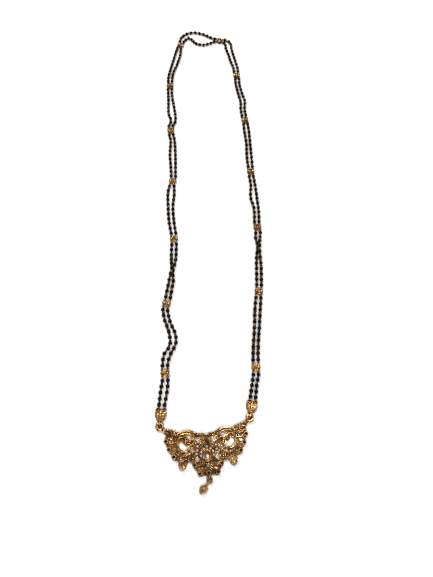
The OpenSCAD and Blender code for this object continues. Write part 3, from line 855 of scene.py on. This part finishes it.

# %% [markdown]
# ## End caps
#
# A cap gathers the two strings: two cups above, a shell below, and a broad hook at its tip.
# The photo shows a bright star between two dark cups: the star throws the light back and the
# cups lie in shade. The finish paints both: the star is a pile of its own in the brightest
# gold, a painted highlight over its polish, the ridges and the beaded edge are in a duller
# gold, and the casting under them is the darkest, painted shade for the cups. One arm of the
# star runs up between the cups, and a large granule sits at the tip.

# %% Stars, ridges and beaded edges on the caps
cap_grains, cap_ridges, cap_stars = Pile(), Pile(), Pile()
CAP_EDGE = [(0.5, 0.55), (1.3, 0.8), (2.6, 0.98), (3.8, 1.02)]
for node, (x, y), end in (("left_end_cap", left_cap, LEFT), ("right_end_cap", right_cap, RIGHT)):
    bench = Bench(node, x, y, CAP_TURNS[end])
    for side in (-1, 1):
        wide = side * (CAP_W / 2 - 0.32)
        edge = [(CAP_TIP + up, wide * share) for up, share in CAP_EDGE]
        bench.grains(cap_grains, edge, 0.32, 0.76)
        bench.wire(cap_ridges, circle(1.09, 75, 285, 30, at=(CUP_X, side * CUP_Y)), 0.17)
        bench.boss(cap_stars, (-0.1, side * 1.15), 1.8, 0.75, 0.5, 90 - side * 16)
        bench.boss(cap_ridges, (-1.25, side * 1.35), 1.0, 0.7, 0.35, 0)
    bench.boss(cap_stars, (-0.35, 0), 1.6, 1.2, 0.5, 0)
    bench.boss(cap_ridges, (-1.6, 0), 1.3, 0.75, 0.4, 0)
    bench.wire(cap_stars, [(0.3, 0), (1.1, 0), (1.9, 0)], 0.32, high=0.1)
    bench.boss(cap_stars, (CAP_TIP + 0.4, 0), 0.9, 0.9, 0.5, 0)
cap_ridges.piece("cap_ridges", dull_gold, "gold")
# The star's brightest gold is a painted highlight over its polish.
cap_stars.piece("cap_stars", bright_gold, "gold")
cap_grains.piece("cap_granules", dull_gold, "gold")

# %% [markdown]
# ## The pendant's plan
#
# The trim follows the crescent's edges, openings and seats, and this script can't read the
# part's source. Tracing them again from the mesh would give hundreds of points, so the same
# short tables are repeated here. They hold shares of the crescent's size: across from its
# middle line, and down from the line of its end rings. Only the right half is listed, and
# the left one mirrors it.

# %% Edges of the crescent
COLLET_TOP = 2.1
TOP_EDGE = [
    (0, 0.224), (0.06, 0.2), (0.11, 0.192), (0.2, 0.192), (0.265, 0.166), (0.32, 0.136),
    (0.38, 0.118), (0.465, 0.11), (0.56, 0.116), (0.64, 0.136), (0.675, 0.136), (0.735, 0.104),
    (0.8, 0.082), (0.92, 0.058), (0.99, 0.036),
]
SIDE_EDGE = [
    (1.045, 0.05), (1.07, 0.088), (1.025, 0.136), (1.0, 0.172), (1.0, 0.24), (1.005, 0.288),
    (0.98, 0.36), (0.955, 0.408), (0.95, 0.452), (0.91, 0.516), (0.86, 0.544), (0.855, 0.616),
    (0.815, 0.652), (0.725, 0.666), (0.715, 0.692), (0.72, 0.736), (0.7, 0.78), (0.67, 0.82),
    (0.63, 0.838), (0.59, 0.832), (0.55, 0.8), (0.515, 0.756), (0.48, 0.72), (0.445, 0.704),
    (0.405, 0.72), (0.37, 0.756), (0.365, 0.808), (0.33, 0.848), (0.29, 0.872), (0.275, 0.92),
    (0.26, 0.96), (0.215, 0.988), (0.15, 0.98), (0.095, 0.972), (0.05, 0.976), (0, 0.976),
]
print(len(TOP_EDGE) + len(SIDE_EDGE), "points draw half the crescent")

# %% Its openings and stones
OPENINGS = [
    [(0.615, 0.324), (0.66, 0.34), (0.675, 0.372), (0.675, 0.408), (0.65, 0.448), (0.61, 0.476),
     (0.55, 0.484), (0.49, 0.484), (0.465, 0.464), (0.465, 0.42), (0.495, 0.4), (0.535, 0.388),
     (0.565, 0.364), (0.585, 0.336)],
    [(0.365, 0.232), (0.41, 0.22), (0.465, 0.22), (0.475, 0.236), (0.45, 0.272), (0.42, 0.292),
     (0.39, 0.276), (0.355, 0.252)],
    [(0.125, 0.316), (0.155, 0.296), (0.21, 0.292), (0.245, 0.284), (0.265, 0.296),
     (0.25, 0.328), (0.21, 0.348), (0.16, 0.34)],
]
PIN_HOLES = [(0.36, 0.496, 0.65), (0.25, 0.672, 0.8)]
RIM_STONES = [(0.983, 0.29), (0.915, 0.444), (0.812, 0.588), (0.324, 0.776), (0.22, 0.93)]
WHITE_STONES = [
    (0.08, 0.496), (0.142, 0.55), (0.155, 0.615), (0.225, 0.436), (0.237, 0.512),
    (0.265, 0.574), (0.435, 0.56), (0.89, 0.31),
]
FOOT_STONE, TOP_STONE = (0, 0.934), (0, 0.455)
print("openings each side:", len(OPENINGS) + len(PIN_HOLES))

# %% From shares to millimetres
def uv(share):
    """A share of the crescent as a point: across, and up."""
    return np.array([share[0] * PENDANT_HALF, -share[1] * PENDANT_DEEP])


def both(side, points):
    """The same points on the side given: 1 right, -1 left."""
    return np.array(points, float) * np.array([side, 1])


def offset(path, distance):
    """An open path moved sideways, to its right as it runs."""
    p = np.array(path, float)
    way = np.gradient(p, axis=0)
    way /= np.linalg.norm(way, axis=1)[:, None]
    return p + distance * np.column_stack([way[:, 1], -way[:, 0]])


def within(path, low, high):
    """The part of a path between two distances from the middle line."""
    return path[(path[:, 0] >= low) & (path[:, 0] <= high)]


top_edge = along([uv(p) for p in TOP_EDGE], 0.4)
side_edge = along([uv(p) for p in SIDE_EDGE], 0.4)
stone_places = [uv(p) for p in [*RIM_STONES, FOOT_STONE]]
pale_places = [uv(p) for p in [*WHITE_STONES, TOP_STONE]]
pendant = Bench("pendant", *PENDANT_AT, PENDANT_TURN)
print("pendant surface at its middle:", pendant.top(pendant.world(uv((0, 0.3)))))

# %% [markdown]
# ## Wires
#
# On the real crescent the wires are what catches the light: two edges with a plain band
# between them on each arch, scrolls round the windows, short ribs and strokes. They could be
# a relief pressed into the plate's mesh, but round wire laid on top gives the sharp bright
# line and the dark one beside it. The left half of the crescent is lit less than the right,
# so its wires are a pile of their own in a duller gold: painted shade.

# %% Arches, scrolls and ribs
# The left half's wires and shoulder bosses go in the duller gold: painted shade.
shaded_left_wires, wires = Pile(), Pile()
HALVES = ((-1, shaded_left_wires), (1, wires))
ARCH_AT, ARCH_SPAN = uv((0.515, 0.38)), (5.9, 13.5)
ARCHES = [(6.3, 50, 128), (5.1, 58, 122)]
LINES = [
    ([(10.6, -9.4), (9.9, -8), (10.2, -6.8), (11.3, -6.1), (12.5, -6.0), (13.4, -6.5),
      (14.0, -7.5), (14.3, -8.7), (14.4, -10), (14.0, -11.6), (12.9, -12.8), (11.2, -13.1)], 0.3),
    ([(10.6, -5.6), (9.5, -6.2), (9.0, -7.4), (9.2, -8.4)], 0.22),
    ([(7.0, -9.8), (8.2, -10.5), (9.4, -11.0)], 0.28),
    ([(14.8, -8.3), (16.6, -8.2), (18.4, -8.6)], 0.26),
    ([(14.7, -12.5), (15.8, -12.6), (16.9, -13.1)], 0.26),
    ([(1.3, -6.9), (1.3, -8.3)], 0.28),
    ([(15.6, -2.5), (15.3, -4.7)], 0.26),
    ([(16.9, -2.2), (16.7, -4.6)], 0.26),
]
for side, pile in HALVES:
    pendant.wire(pile, both(side, within(offset(top_edge, 0.3), *ARCH_SPAN)), 0.24)
    for radius, start, stop in ARCHES:
        pendant.wire(pile, both(side, circle(radius, start, stop, at=ARCH_AT)), 0.28)
    for path, radius in LINES:
        pendant.wire(pile, both(side, rounded(path)), radius)
print("wires so far:", len(wires.points) + len(shaded_left_wires.points))

# %% [markdown]
# A fine wire rims every opening, pushed a little outward from the cut edge so that it rests
# on metal, and strokes fan over the foot. Last come the polished bosses, flat ovals that the
# photo shows as its brightest spots. Two at each shoulder are on both halves, and five more
# only on the right one.

# %% Rims, strokes and bosses
RIM_OUT, BOSS_H = 0.42, 0.34
SHOULDER_BOSSES = [((18.8, -3.4), 1.8, 0.9, 20), ((20.2, -1.7), 1.6, 0.9, 30)]
RIGHT_BOSSES = [
    ((17.0, -9.75), 2.7, 1.15, -6), ((3.5, -21.4), 2.5, 1.3, -8), ((11.2, -14.5), 1.5, 0.9, 0),
    ((12.5, -19.6), 1.5, 1.1, 90), ((8.6, -18.3), 1.3, 0.8, 40),
]
for side, pile in HALVES:
    for hole in OPENINGS:
        border = np.array([uv(p) for p in hole])
        c = border.mean(axis=0)
        out = border - c
        wide = c + out * (1 + RIM_OUT / np.linalg.norm(out, axis=1))[:, None]
        pendant.wire(pile, rounded(both(side, wide), closed=True), 0.2, closed=True)
    for u, v, radius in PIN_HOLES:
        c = both(side, uv((u, v)))
        pendant.wire(pile, circle(radius + 0.24, 0, 360, 24, at=c)[:-1], 0.18, closed=True)
    for k in range(4):
        top = np.array([1.5 + 0.95 * k, -18.5 - 0.12 * k])
        pendant.wire(pile, both(side, [top, top + [1.15, -1.35]]), 0.22)
        low = np.array([0.9 + 0.5 * k, -20.4 - 0.25 * k])
        if k < 3:
            pendant.wire(pile, both(side, [low, low + [0.9, -1.0]]), 0.2)
    for at, length, width, turn in SHOULDER_BOSSES:
        pendant.boss(pile, both(side, at), length, width, BOSS_H, side * turn)
for at, length, width, turn in RIGHT_BOSSES:
    pendant.boss(wires, at, length, width, BOSS_H, turn)
wires.piece("pendant_wires", rim_gold, "gold")
# The left half in duller gold: painted shade.
shaded_left_wires.piece("pendant_shaded_left_wires", dull_gold, "gold")

# %% [markdown]
# The hole of each end ring looks brown in the photo, not pale as the table is. An open ring
# would show the table, and a closed disc would leave the hook no room. So a rounded pad of
# solder fills the side of the hole that lies away from the cap's pull.

# %% Pads in the end rings
PAD_SIZE, PAD_BACK, PAD_Z = [0.42, 0.78, 0.3], 0.45, 0.62
fillets = Pile()
for side, angle in PULLS.items():
    centre = pendant.world((side * RING_U, 0)) - PAD_BACK * ahead(angle)
    points, faces = ball(1.0, 1.0, 14, 7)
    pad = (points * PAD_SIZE, faces)
    fillets.add(place(pad, [*centre, PAD_Z], (*ahead(angle), 0), (*aside(angle), 0)))
fillets.piece("ring_fillets", pad_gold, "gold")

# %% [markdown]
# ## Granules
#
# Granulation is the old craft of soldering tiny balls of gold on a sheet. On the real
# crescent they stand in rows: along the rail, round the small holes, down the rim. Scattering
# them with a particle system would lose the rows, which the eye finds at once even where the
# photo is only a few pixels wide. So the rows are laid first, each on its own path, at an
# even pitch, and clear of the stones' settings.

# %% Rows of granules
RAIL_ROWS = [
    (0.42, 0.0, 5.7), (1.4, 0.4, 5.2), (0.42, 13.7, 19.6), (1.4, 13.9, 19.4),
    (2.4, 14.1, 18.9), (3.4, 14.6, 18.4),
]
ROSETTES = [((7.2, -12.4), 2.35, 105, 385), ((5.0, -16.8), 1.35, 0, 345)]
SHORT_ROWS = [
    [(8.7, -15.5), (11.2, -15.0), (13.8, -15.2)], [(9.6, -14.1), (12, -13.8), (14, -13.6)],
    [(11.9, -16.2), (11.6, -19.6)], [(13.0, -16.2), (12.9, -19.6)],
    [(0.35, -10.5), (2.7, -8.3)], [(0.4, -12.0), (3.1, -9.7)], [(15.0, -10.9), (17.4, -11.3)],
]
DARK_ROOM, PALE_ROOM = 1.42, 0.86


def free(p):
    """Clear of every stone's setting."""
    q = np.array([abs(p[0]), p[1]])
    dark_room = min(np.linalg.norm(q - c) for c in stone_places)
    pale_room = min(np.linalg.norm(q - c) for c in pale_places)
    return dark_room > DARK_ROOM and pale_room > PALE_ROOM


granules = Pile()
for side in (-1, 1):
    for depth, low, high in RAIL_ROWS:
        row = within(offset(top_edge, depth), low, high)
        pendant.grains(granules, both(side, row), 0.39, 0.98, keep=free)
    pendant.grains(granules, both(side, offset(side_edge, 0.42)), 0.3, 0.74, keep=free)
    for at, radius, a, b in ROSETTES:
        row = circle(radius, a, b, 40, at=at)
        pendant.grains(granules, both(side, row), 0.33, 0.84, keep=free)
    for row in SHORT_ROWS:
        pendant.grains(granules, both(side, row), 0.31, 0.78, keep=free)
print("granules so far:", len(granules.points))

# %% [markdown]
# An almond-shaped eye with a slit stands in the middle. Two arcs of a circle make an almond:
# from its height and its width comes the circle's radius, and rows at several distances from
# the arcs give the columns beside it. Rings of finer granules close round the dark stones,
# and every setting is then marked as taken.

# %% Columns beside the eye and rings round the stones
ALMOND_H, ALMOND_W, ALMOND_V = 6.2, 3.8, -15.5
COLUMNS = [(0.5, 0.95, 0.26), (1.25, 0.8, 0.26), (-0.36, 0.82, 0.2)]
almond_round = (ALMOND_H ** 2 + ALMOND_W ** 2) / (4 * ALMOND_W)
t = np.linspace(-1, 1, 40)
for side in (-1, 1):
    for out, share, size in COLUMNS:
        up = ALMOND_H / 2 * share * t
        across = np.sqrt(almond_round ** 2 - up ** 2) - (almond_round - ALMOND_W / 2) + out
        column = both(side, np.column_stack([across, up + ALMOND_V]))
        pendant.grains(granules, column, size, 2.5 * size, keep=free)
for p in stone_places:
    for side in (-1, 1) if p[0] else (1,):
        pendant.grains(granules, circle(1.3, at=both(side, p))[:-1], 0.2, 0.48, closed=True)
for side in (-1, 1):
    pendant.taken += [(*both(side, p), 1.36) for p in stone_places]
    pendant.taken += [(*both(side, p), 0.66) for p in pale_places]
print("with columns and rings:", len(granules.points))

# %% [markdown]
# The ground between the rows is filled as a goldsmith would fill it: large granules first,
# packed in a honeycomb that is shaken a little, then smaller ones in what room is left. Some
# work has to stay smooth, or the eye would find no rest: the arches' bands, the scrolls, the
# ribs and the eye itself.

# %% The field
band_low = within(offset(top_edge, 2.3), *ARCH_SPAN)
SCROLL_AT, SCROLL_R = (11.9, -7.8), 2.5
RIBS_FROM, RIBS_LOW, RIBS_HIGH = 14.6, -13.0, -7.9
EYE_ACROSS, EYE_UP = 1.75, 3.3


def smooth_work(p):
    """On the arches' bands, the scrolls, the ribs or the eye."""
    u, v = abs(p[0]), p[1]
    in_span = ARCH_SPAN[0] < u < ARCH_SPAN[1]
    on_band = in_span and v > np.interp(u, band_low[:, 0], band_low[:, 1])
    on_scroll = math.hypot(u - SCROLL_AT[0], v - SCROLL_AT[1]) < SCROLL_R
    on_rib = u > RIBS_FROM and RIBS_LOW < v < RIBS_HIGH
    in_eye = (u / EYE_ACROSS) ** 2 + ((v - ALMOND_V) / EYE_UP) ** 2 < 1
    return on_band or on_scroll or on_rib or in_eye


before = len(granules.points)
for radius, pitch in ((0.5, 1.12), (0.34, 0.8)):
    pendant.fill(granules, (-21, -25), (21, -1), radius, pitch, lambda p: not smooth_work(p))
print("granules laid in the field:", len(granules.points) - before)
granules.piece("pendant_granules", grain_gold, "gold")

# %% [markdown]
# ## The drop
#
# Under the crescent a mango leaf hangs in an oval jump ring. Both are castings of the part.
# The ring looks rough in the photo and not like a plain wire, so granules line its sides.
# The leaf hangs over to the left, so it gets a bench of its own, turned with it.

# %% Granules on the jump ring
RING_V, RING_R = -26.6, 1.15
jump_ring = Bench("drop_ring", *PENDANT_AT, PENDANT_TURN)
ring_grains = Pile()
for row in (
    [(-0.95, -25.65), (-RING_R, -26.25), (-RING_R, -26.95)],
    [(0.95, -25.65), (RING_R, -26.25), (RING_R, -26.95), (0.95, -27.55), (0.5, -27.95)],
):
    jump_ring.grains(ring_grains, row, 0.25, 0.52)
for side in (-1, 1):
    xy = pendant.world((side * 0.5, RING_V + 0.05))
    ring_grains.add(place(ball(0.36), [*xy, 1.2]))
ring_grains.piece("ring_granules", dull_gold, "gold")

# %% Wire and granules on the leaf
LEAF_LEAN, LEAF_START, LEAF_LEN, LEAF_W, LEAF_EYE = 44, 0.72, 5.2, 3.8, 2.86
LEAF_SIDE = [
    (0, 0.1), (0.17, 0.38), (0.33, 0.48), (0.52, 0.5), (0.7, 0.46), (0.88, 0.3), (1, 0.07),
]
leaf_trim = Pile()
leaf_at = pendant.world(np.array([0, RING_V - 0.35]) + RING_R * ahead(-90 - LEAF_LEAN))
leaf = Bench("drop_leaf", *leaf_at, PENDANT_TURN - 90 - LEAF_LEAN)
half = np.array(LEAF_SIDE) * [LEAF_LEN, LEAF_W] + [LEAF_START, 0]
outline = np.vstack([half, half[::-1] * [1, -1]])
inward = np.array([LEAF_START + LEAF_LEN / 2, 0]) - outline
rim = outline + 0.3 * inward / np.linalg.norm(inward, axis=1)[:, None]
leaf.wire(leaf_trim, rounded(rim, closed=True), 0.24, closed=True)
leaf.grains(leaf_trim, circle(0.83, at=(LEAF_EYE, 0))[:-1], 0.22, 0.52, closed=True)
low_row = [(1.35, -0.5), (1.5, 0), (1.35, 0.5)]
leaf.grains(leaf_trim, [(LEAF_EYE + down, across) for down, across in low_row], 0.26, 0.55)
tip_row = [(2.15, -0.25), (2.15, 0.25)]
leaf.grains(leaf_trim, [(LEAF_EYE + down, across) for down, across in tip_row], 0.24, 0.5)
leaf_trim.piece("leaf_trim", leaf_gold, "gold")

# %% [markdown]
# ## Cut stones
#
# A cut stone sparkles because every facet throws the light another way. A smooth dome with a
# shiny finish gives one soft highlight and reads as a bead. So the stones of the part are
# remade with real facets and flat shading: a table on top, star and main facets round the
# crown, a girdle, and a pointed pavilion in the seat.

# %% A round stone, cut in eights
BANDS = [(8, 0.58, 1.0, 0.0), (8, 0.80, 0.80, 22.5), (16, 0.99, 0.50, 0.0), (16, 0.99, 0.42, 0.0)]


def gem(diameter, height):
    """Table, crown in three bands, girdle and pavilion."""
    r = diameter / 2
    points = []
    for n, wide, high, turn in BANDS:
        a = np.radians(np.arange(n) * 360 / n + turn)
        x, y = r * wide * np.cos(a), r * wide * np.sin(a)
        points.append(np.column_stack([x, y, np.full(n, height * high)]))
    points.append(np.array([[0.0, 0.0, 0.0]]))
    t, s, g, b, tip = 0, 8, 16, 32, 48
    faces = [tuple(range(8))]
    for k in range(8):
        m = (k + 1) % 8
        faces.append((t + k, s + k, t + m))
        faces.append((s + k, g + 2 * k + 1, g + (2 * k + 2) % 16, t + m))
        faces.append((t + k, g + 2 * k, g + 2 * k + 1, s + k))
    for k in range(16):
        m = (k + 1) % 16
        faces.append((g + k, b + k, b + m, g + m))
        faces.append((b + k, tip, b + m))
    return np.concatenate(points), faces


print("a stone has", len(gem(1.4, 0.85)[1]), "facets")

# %% [markdown]
# Each dark stone sits in a collet with four prongs, each pale one in a hole of the plate
# with four grains pushed over its edge. The seats' depths are the part's own, with a hair of
# air under each stone, and every stone is spun by chance, so that no two light up together.

# %% Stones and their prongs
SEAT_AIR = 0.06
DARK_SEAT, PALE_SEAT = COLLET_TOP - 0.75 + SEAT_AIR, PLATE - 0.35 + SEAT_AIR
PRONG_UP = 0.62


def set_stones(places, diameter, seat_z, height, prong_r, prong_at):
    """Stones in their seats; their prongs join the pile of all prongs."""
    stones = Pile()
    for p in places:
        for side in (-1, 1) if p[0] else (1,):
            xy = pendant.world(both(side, p))
            spin = draw.uniform(0, 45)
            stone = gem(diameter, height)
            stones.add(place(stone, [*xy, seat_z], (*ahead(spin), 0), (*aside(spin), 0)))
            for k in range(4):
                tip = xy + prong_at * ahead(45 + 90 * k)
                prongs.add(place(ball(prong_r), [*tip, seat_z + PRONG_UP * height]))
    return stones


prongs = Pile()
for kind, gem_finish, setting in (
    ("dark_stone", dark_gem, (stone_places, 1.4, DARK_SEAT, 0.85, 0.2, 0.78)),
    ("white_stone", pale_gem, (pale_places, 1.1, PALE_SEAT, 0.8, 0.16, 0.62)),
):
    seats = [n for n in cad if n.startswith(kind + "_")]
    set_stones(*setting).piece(kind + "s", gem_finish, kind, seats, smooth=False)
prongs.piece("stone_prongs", bright_gold, "gold")

# %% [markdown]
# ## The castings' finish
#
# The castings stay as packed, since their shapes are the ones that were measured. Only their
# material slots are filled, each casting with its own gold, and what isn't listed gets the
# plain cast one. The spacers' names end in a number, so the number is cut off before the
# look-up.

# %% Gold on the castings
FINISHES = {
    "pendant": pendant_gold, "drop_leaf": leaf_gold, "spacer_": spacer_gold,
    "left_end_cap": cap_gold, "right_end_cap": cap_gold,
}
kept = [n for n in cad if not cad[n].hide_render]
for name in kept:
    node = cad[name]
    for k in range(max(1, len(node.data.materials))):
        if k < len(node.data.materials):
            node.data.materials[k] = FINISHES.get(name.rstrip("0123456789"), cast_gold)
        else:
            node.data.materials.append(cast_gold)
print(len(kept), "castings kept:", ", ".join(sorted(kept)[:6]), "and so on")

# %% [markdown]
# ## Surface, light and camera
#
# The photo shows the necklace on pure white. A brighter floor would reach that white sooner,
# but its light would also creep round the thin black rows and eat them away. A middle grey
# under strong lamps turns just as white in the picture and keeps the rows dark.

# %% A pale floor
FLOOR_HALF, FLOOR_GREYS = 4.0, (0.47, 0.49)


def plain_floor(half):
    """A square floor of faintly uneven grey; half is half its side in metres."""
    mesh = bpy.data.meshes.new("floor")
    corners = [(-half, -half, 0), (half, -half, 0), (half, half, 0), (-half, half, 0)]
    mesh.from_pydata(corners, [], [(0, 1, 2, 3)])
    f = Finish("pale_surface")
    greys = [[grey, grey, grey, 1] for grey in FLOOR_GREYS]
    mesh.materials.append(f.surface({
        "Base Color": f.mix(f.noise(30.0).ramp(0.3, 0.7), *greys),
        "Roughness": 0.8,
    }))
    made = bpy.data.objects.new("floor", mesh)
    bpy.context.scene.collection.objects.link(made)
    made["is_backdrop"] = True
    return made


floor = plain_floor(FLOOR_HALF)
print("floor", floor.dimensions[:2])

# %% [markdown]
# Polished metal shows whatever is bright round it. One big soft lamp would lay an even sheen
# on everything. Four small round lamps from different sides give each granule and each bead
# its own few points of light, which is what makes the photo's gold lively. A faint white sky
# keeps the hollows from going black.

# %% Lamps and sky
LAMPS = [
    ("key", (-0.35, 0.55, 0.80), (0, 0, 0), 0.20, 10.5),
    ("fill", (0.60, -0.05, 0.80), (0, 0, 0), 0.30, 5.8),
    ("front", (0.05, -0.70, 0.95), (0, -0.05, 0), 0.25, 11.4),
    ("glint", (0.0, 0.25, 1.10), (0, -0.05, 0), 0.12, 6.6),
]
SKY = 0.12


def soft_light(name, at, toward, size, power):
    """A round lamp at a place, facing a point; its size in metres, its power in watts."""
    data = bpy.data.lights.new(name, "AREA")
    data.shape, data.size, data.energy = "DISK", size, power
    made = bpy.data.objects.new(name, data)
    made.location = at
    made.rotation_euler = (Vector(toward) - Vector(at)).to_track_quat("-Z", "Y").to_euler()
    bpy.context.scene.collection.objects.link(made)


world = bpy.data.worlds.new("studio")
world.use_nodes = True
world.node_tree.nodes["Background"].inputs["Color"].default_value = (1, 1, 1, 1)
world.node_tree.nodes["Background"].inputs["Strength"].default_value = SKY
bpy.context.scene.world = world
for lamp in LAMPS:
    soft_light(*lamp)
print(len(LAMPS), "lamps,", sum(power for *_, power in LAMPS), "W in all")

# %% [markdown]
# The camera stands where the photo was taken from: near the crescent, a little above it,
# looking down the loop, so that the far end looks small. A phone's lens is assumed. With it,
# the spacers come out at even distances all round, which a regular product has, and that
# settled the tilt and the height.

# %% The camera
LENS, TILT = 28.08, 24.36
camera_data = bpy.data.cameras.new("camera")
camera_data.sensor_fit, camera_data.sensor_width, camera_data.lens = "AUTO", 36.0, LENS
camera_data.clip_start, camera_data.clip_end = 0.01, 20.0
camera = bpy.data.objects.new("camera", camera_data)
camera.location = (0.0043, -0.1586, 0.2321)
camera.rotation_euler = (math.radians(TILT), 0, 0)
bpy.context.scene.collection.objects.link(camera)
bpy.context.scene.camera = camera
bpy.context.scene.view_settings.view_transform = "Standard"
print("camera at", tuple(round(v, 4) for v in camera.location))

# %% [markdown]
# ## Size
#
# The packed model's box was kept at the start, and both boxes are printed here.

# %% Both boxes
low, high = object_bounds()
print("visual box in mm", [round(1000 * (h - l), 2) for l, h in zip(low, high)])
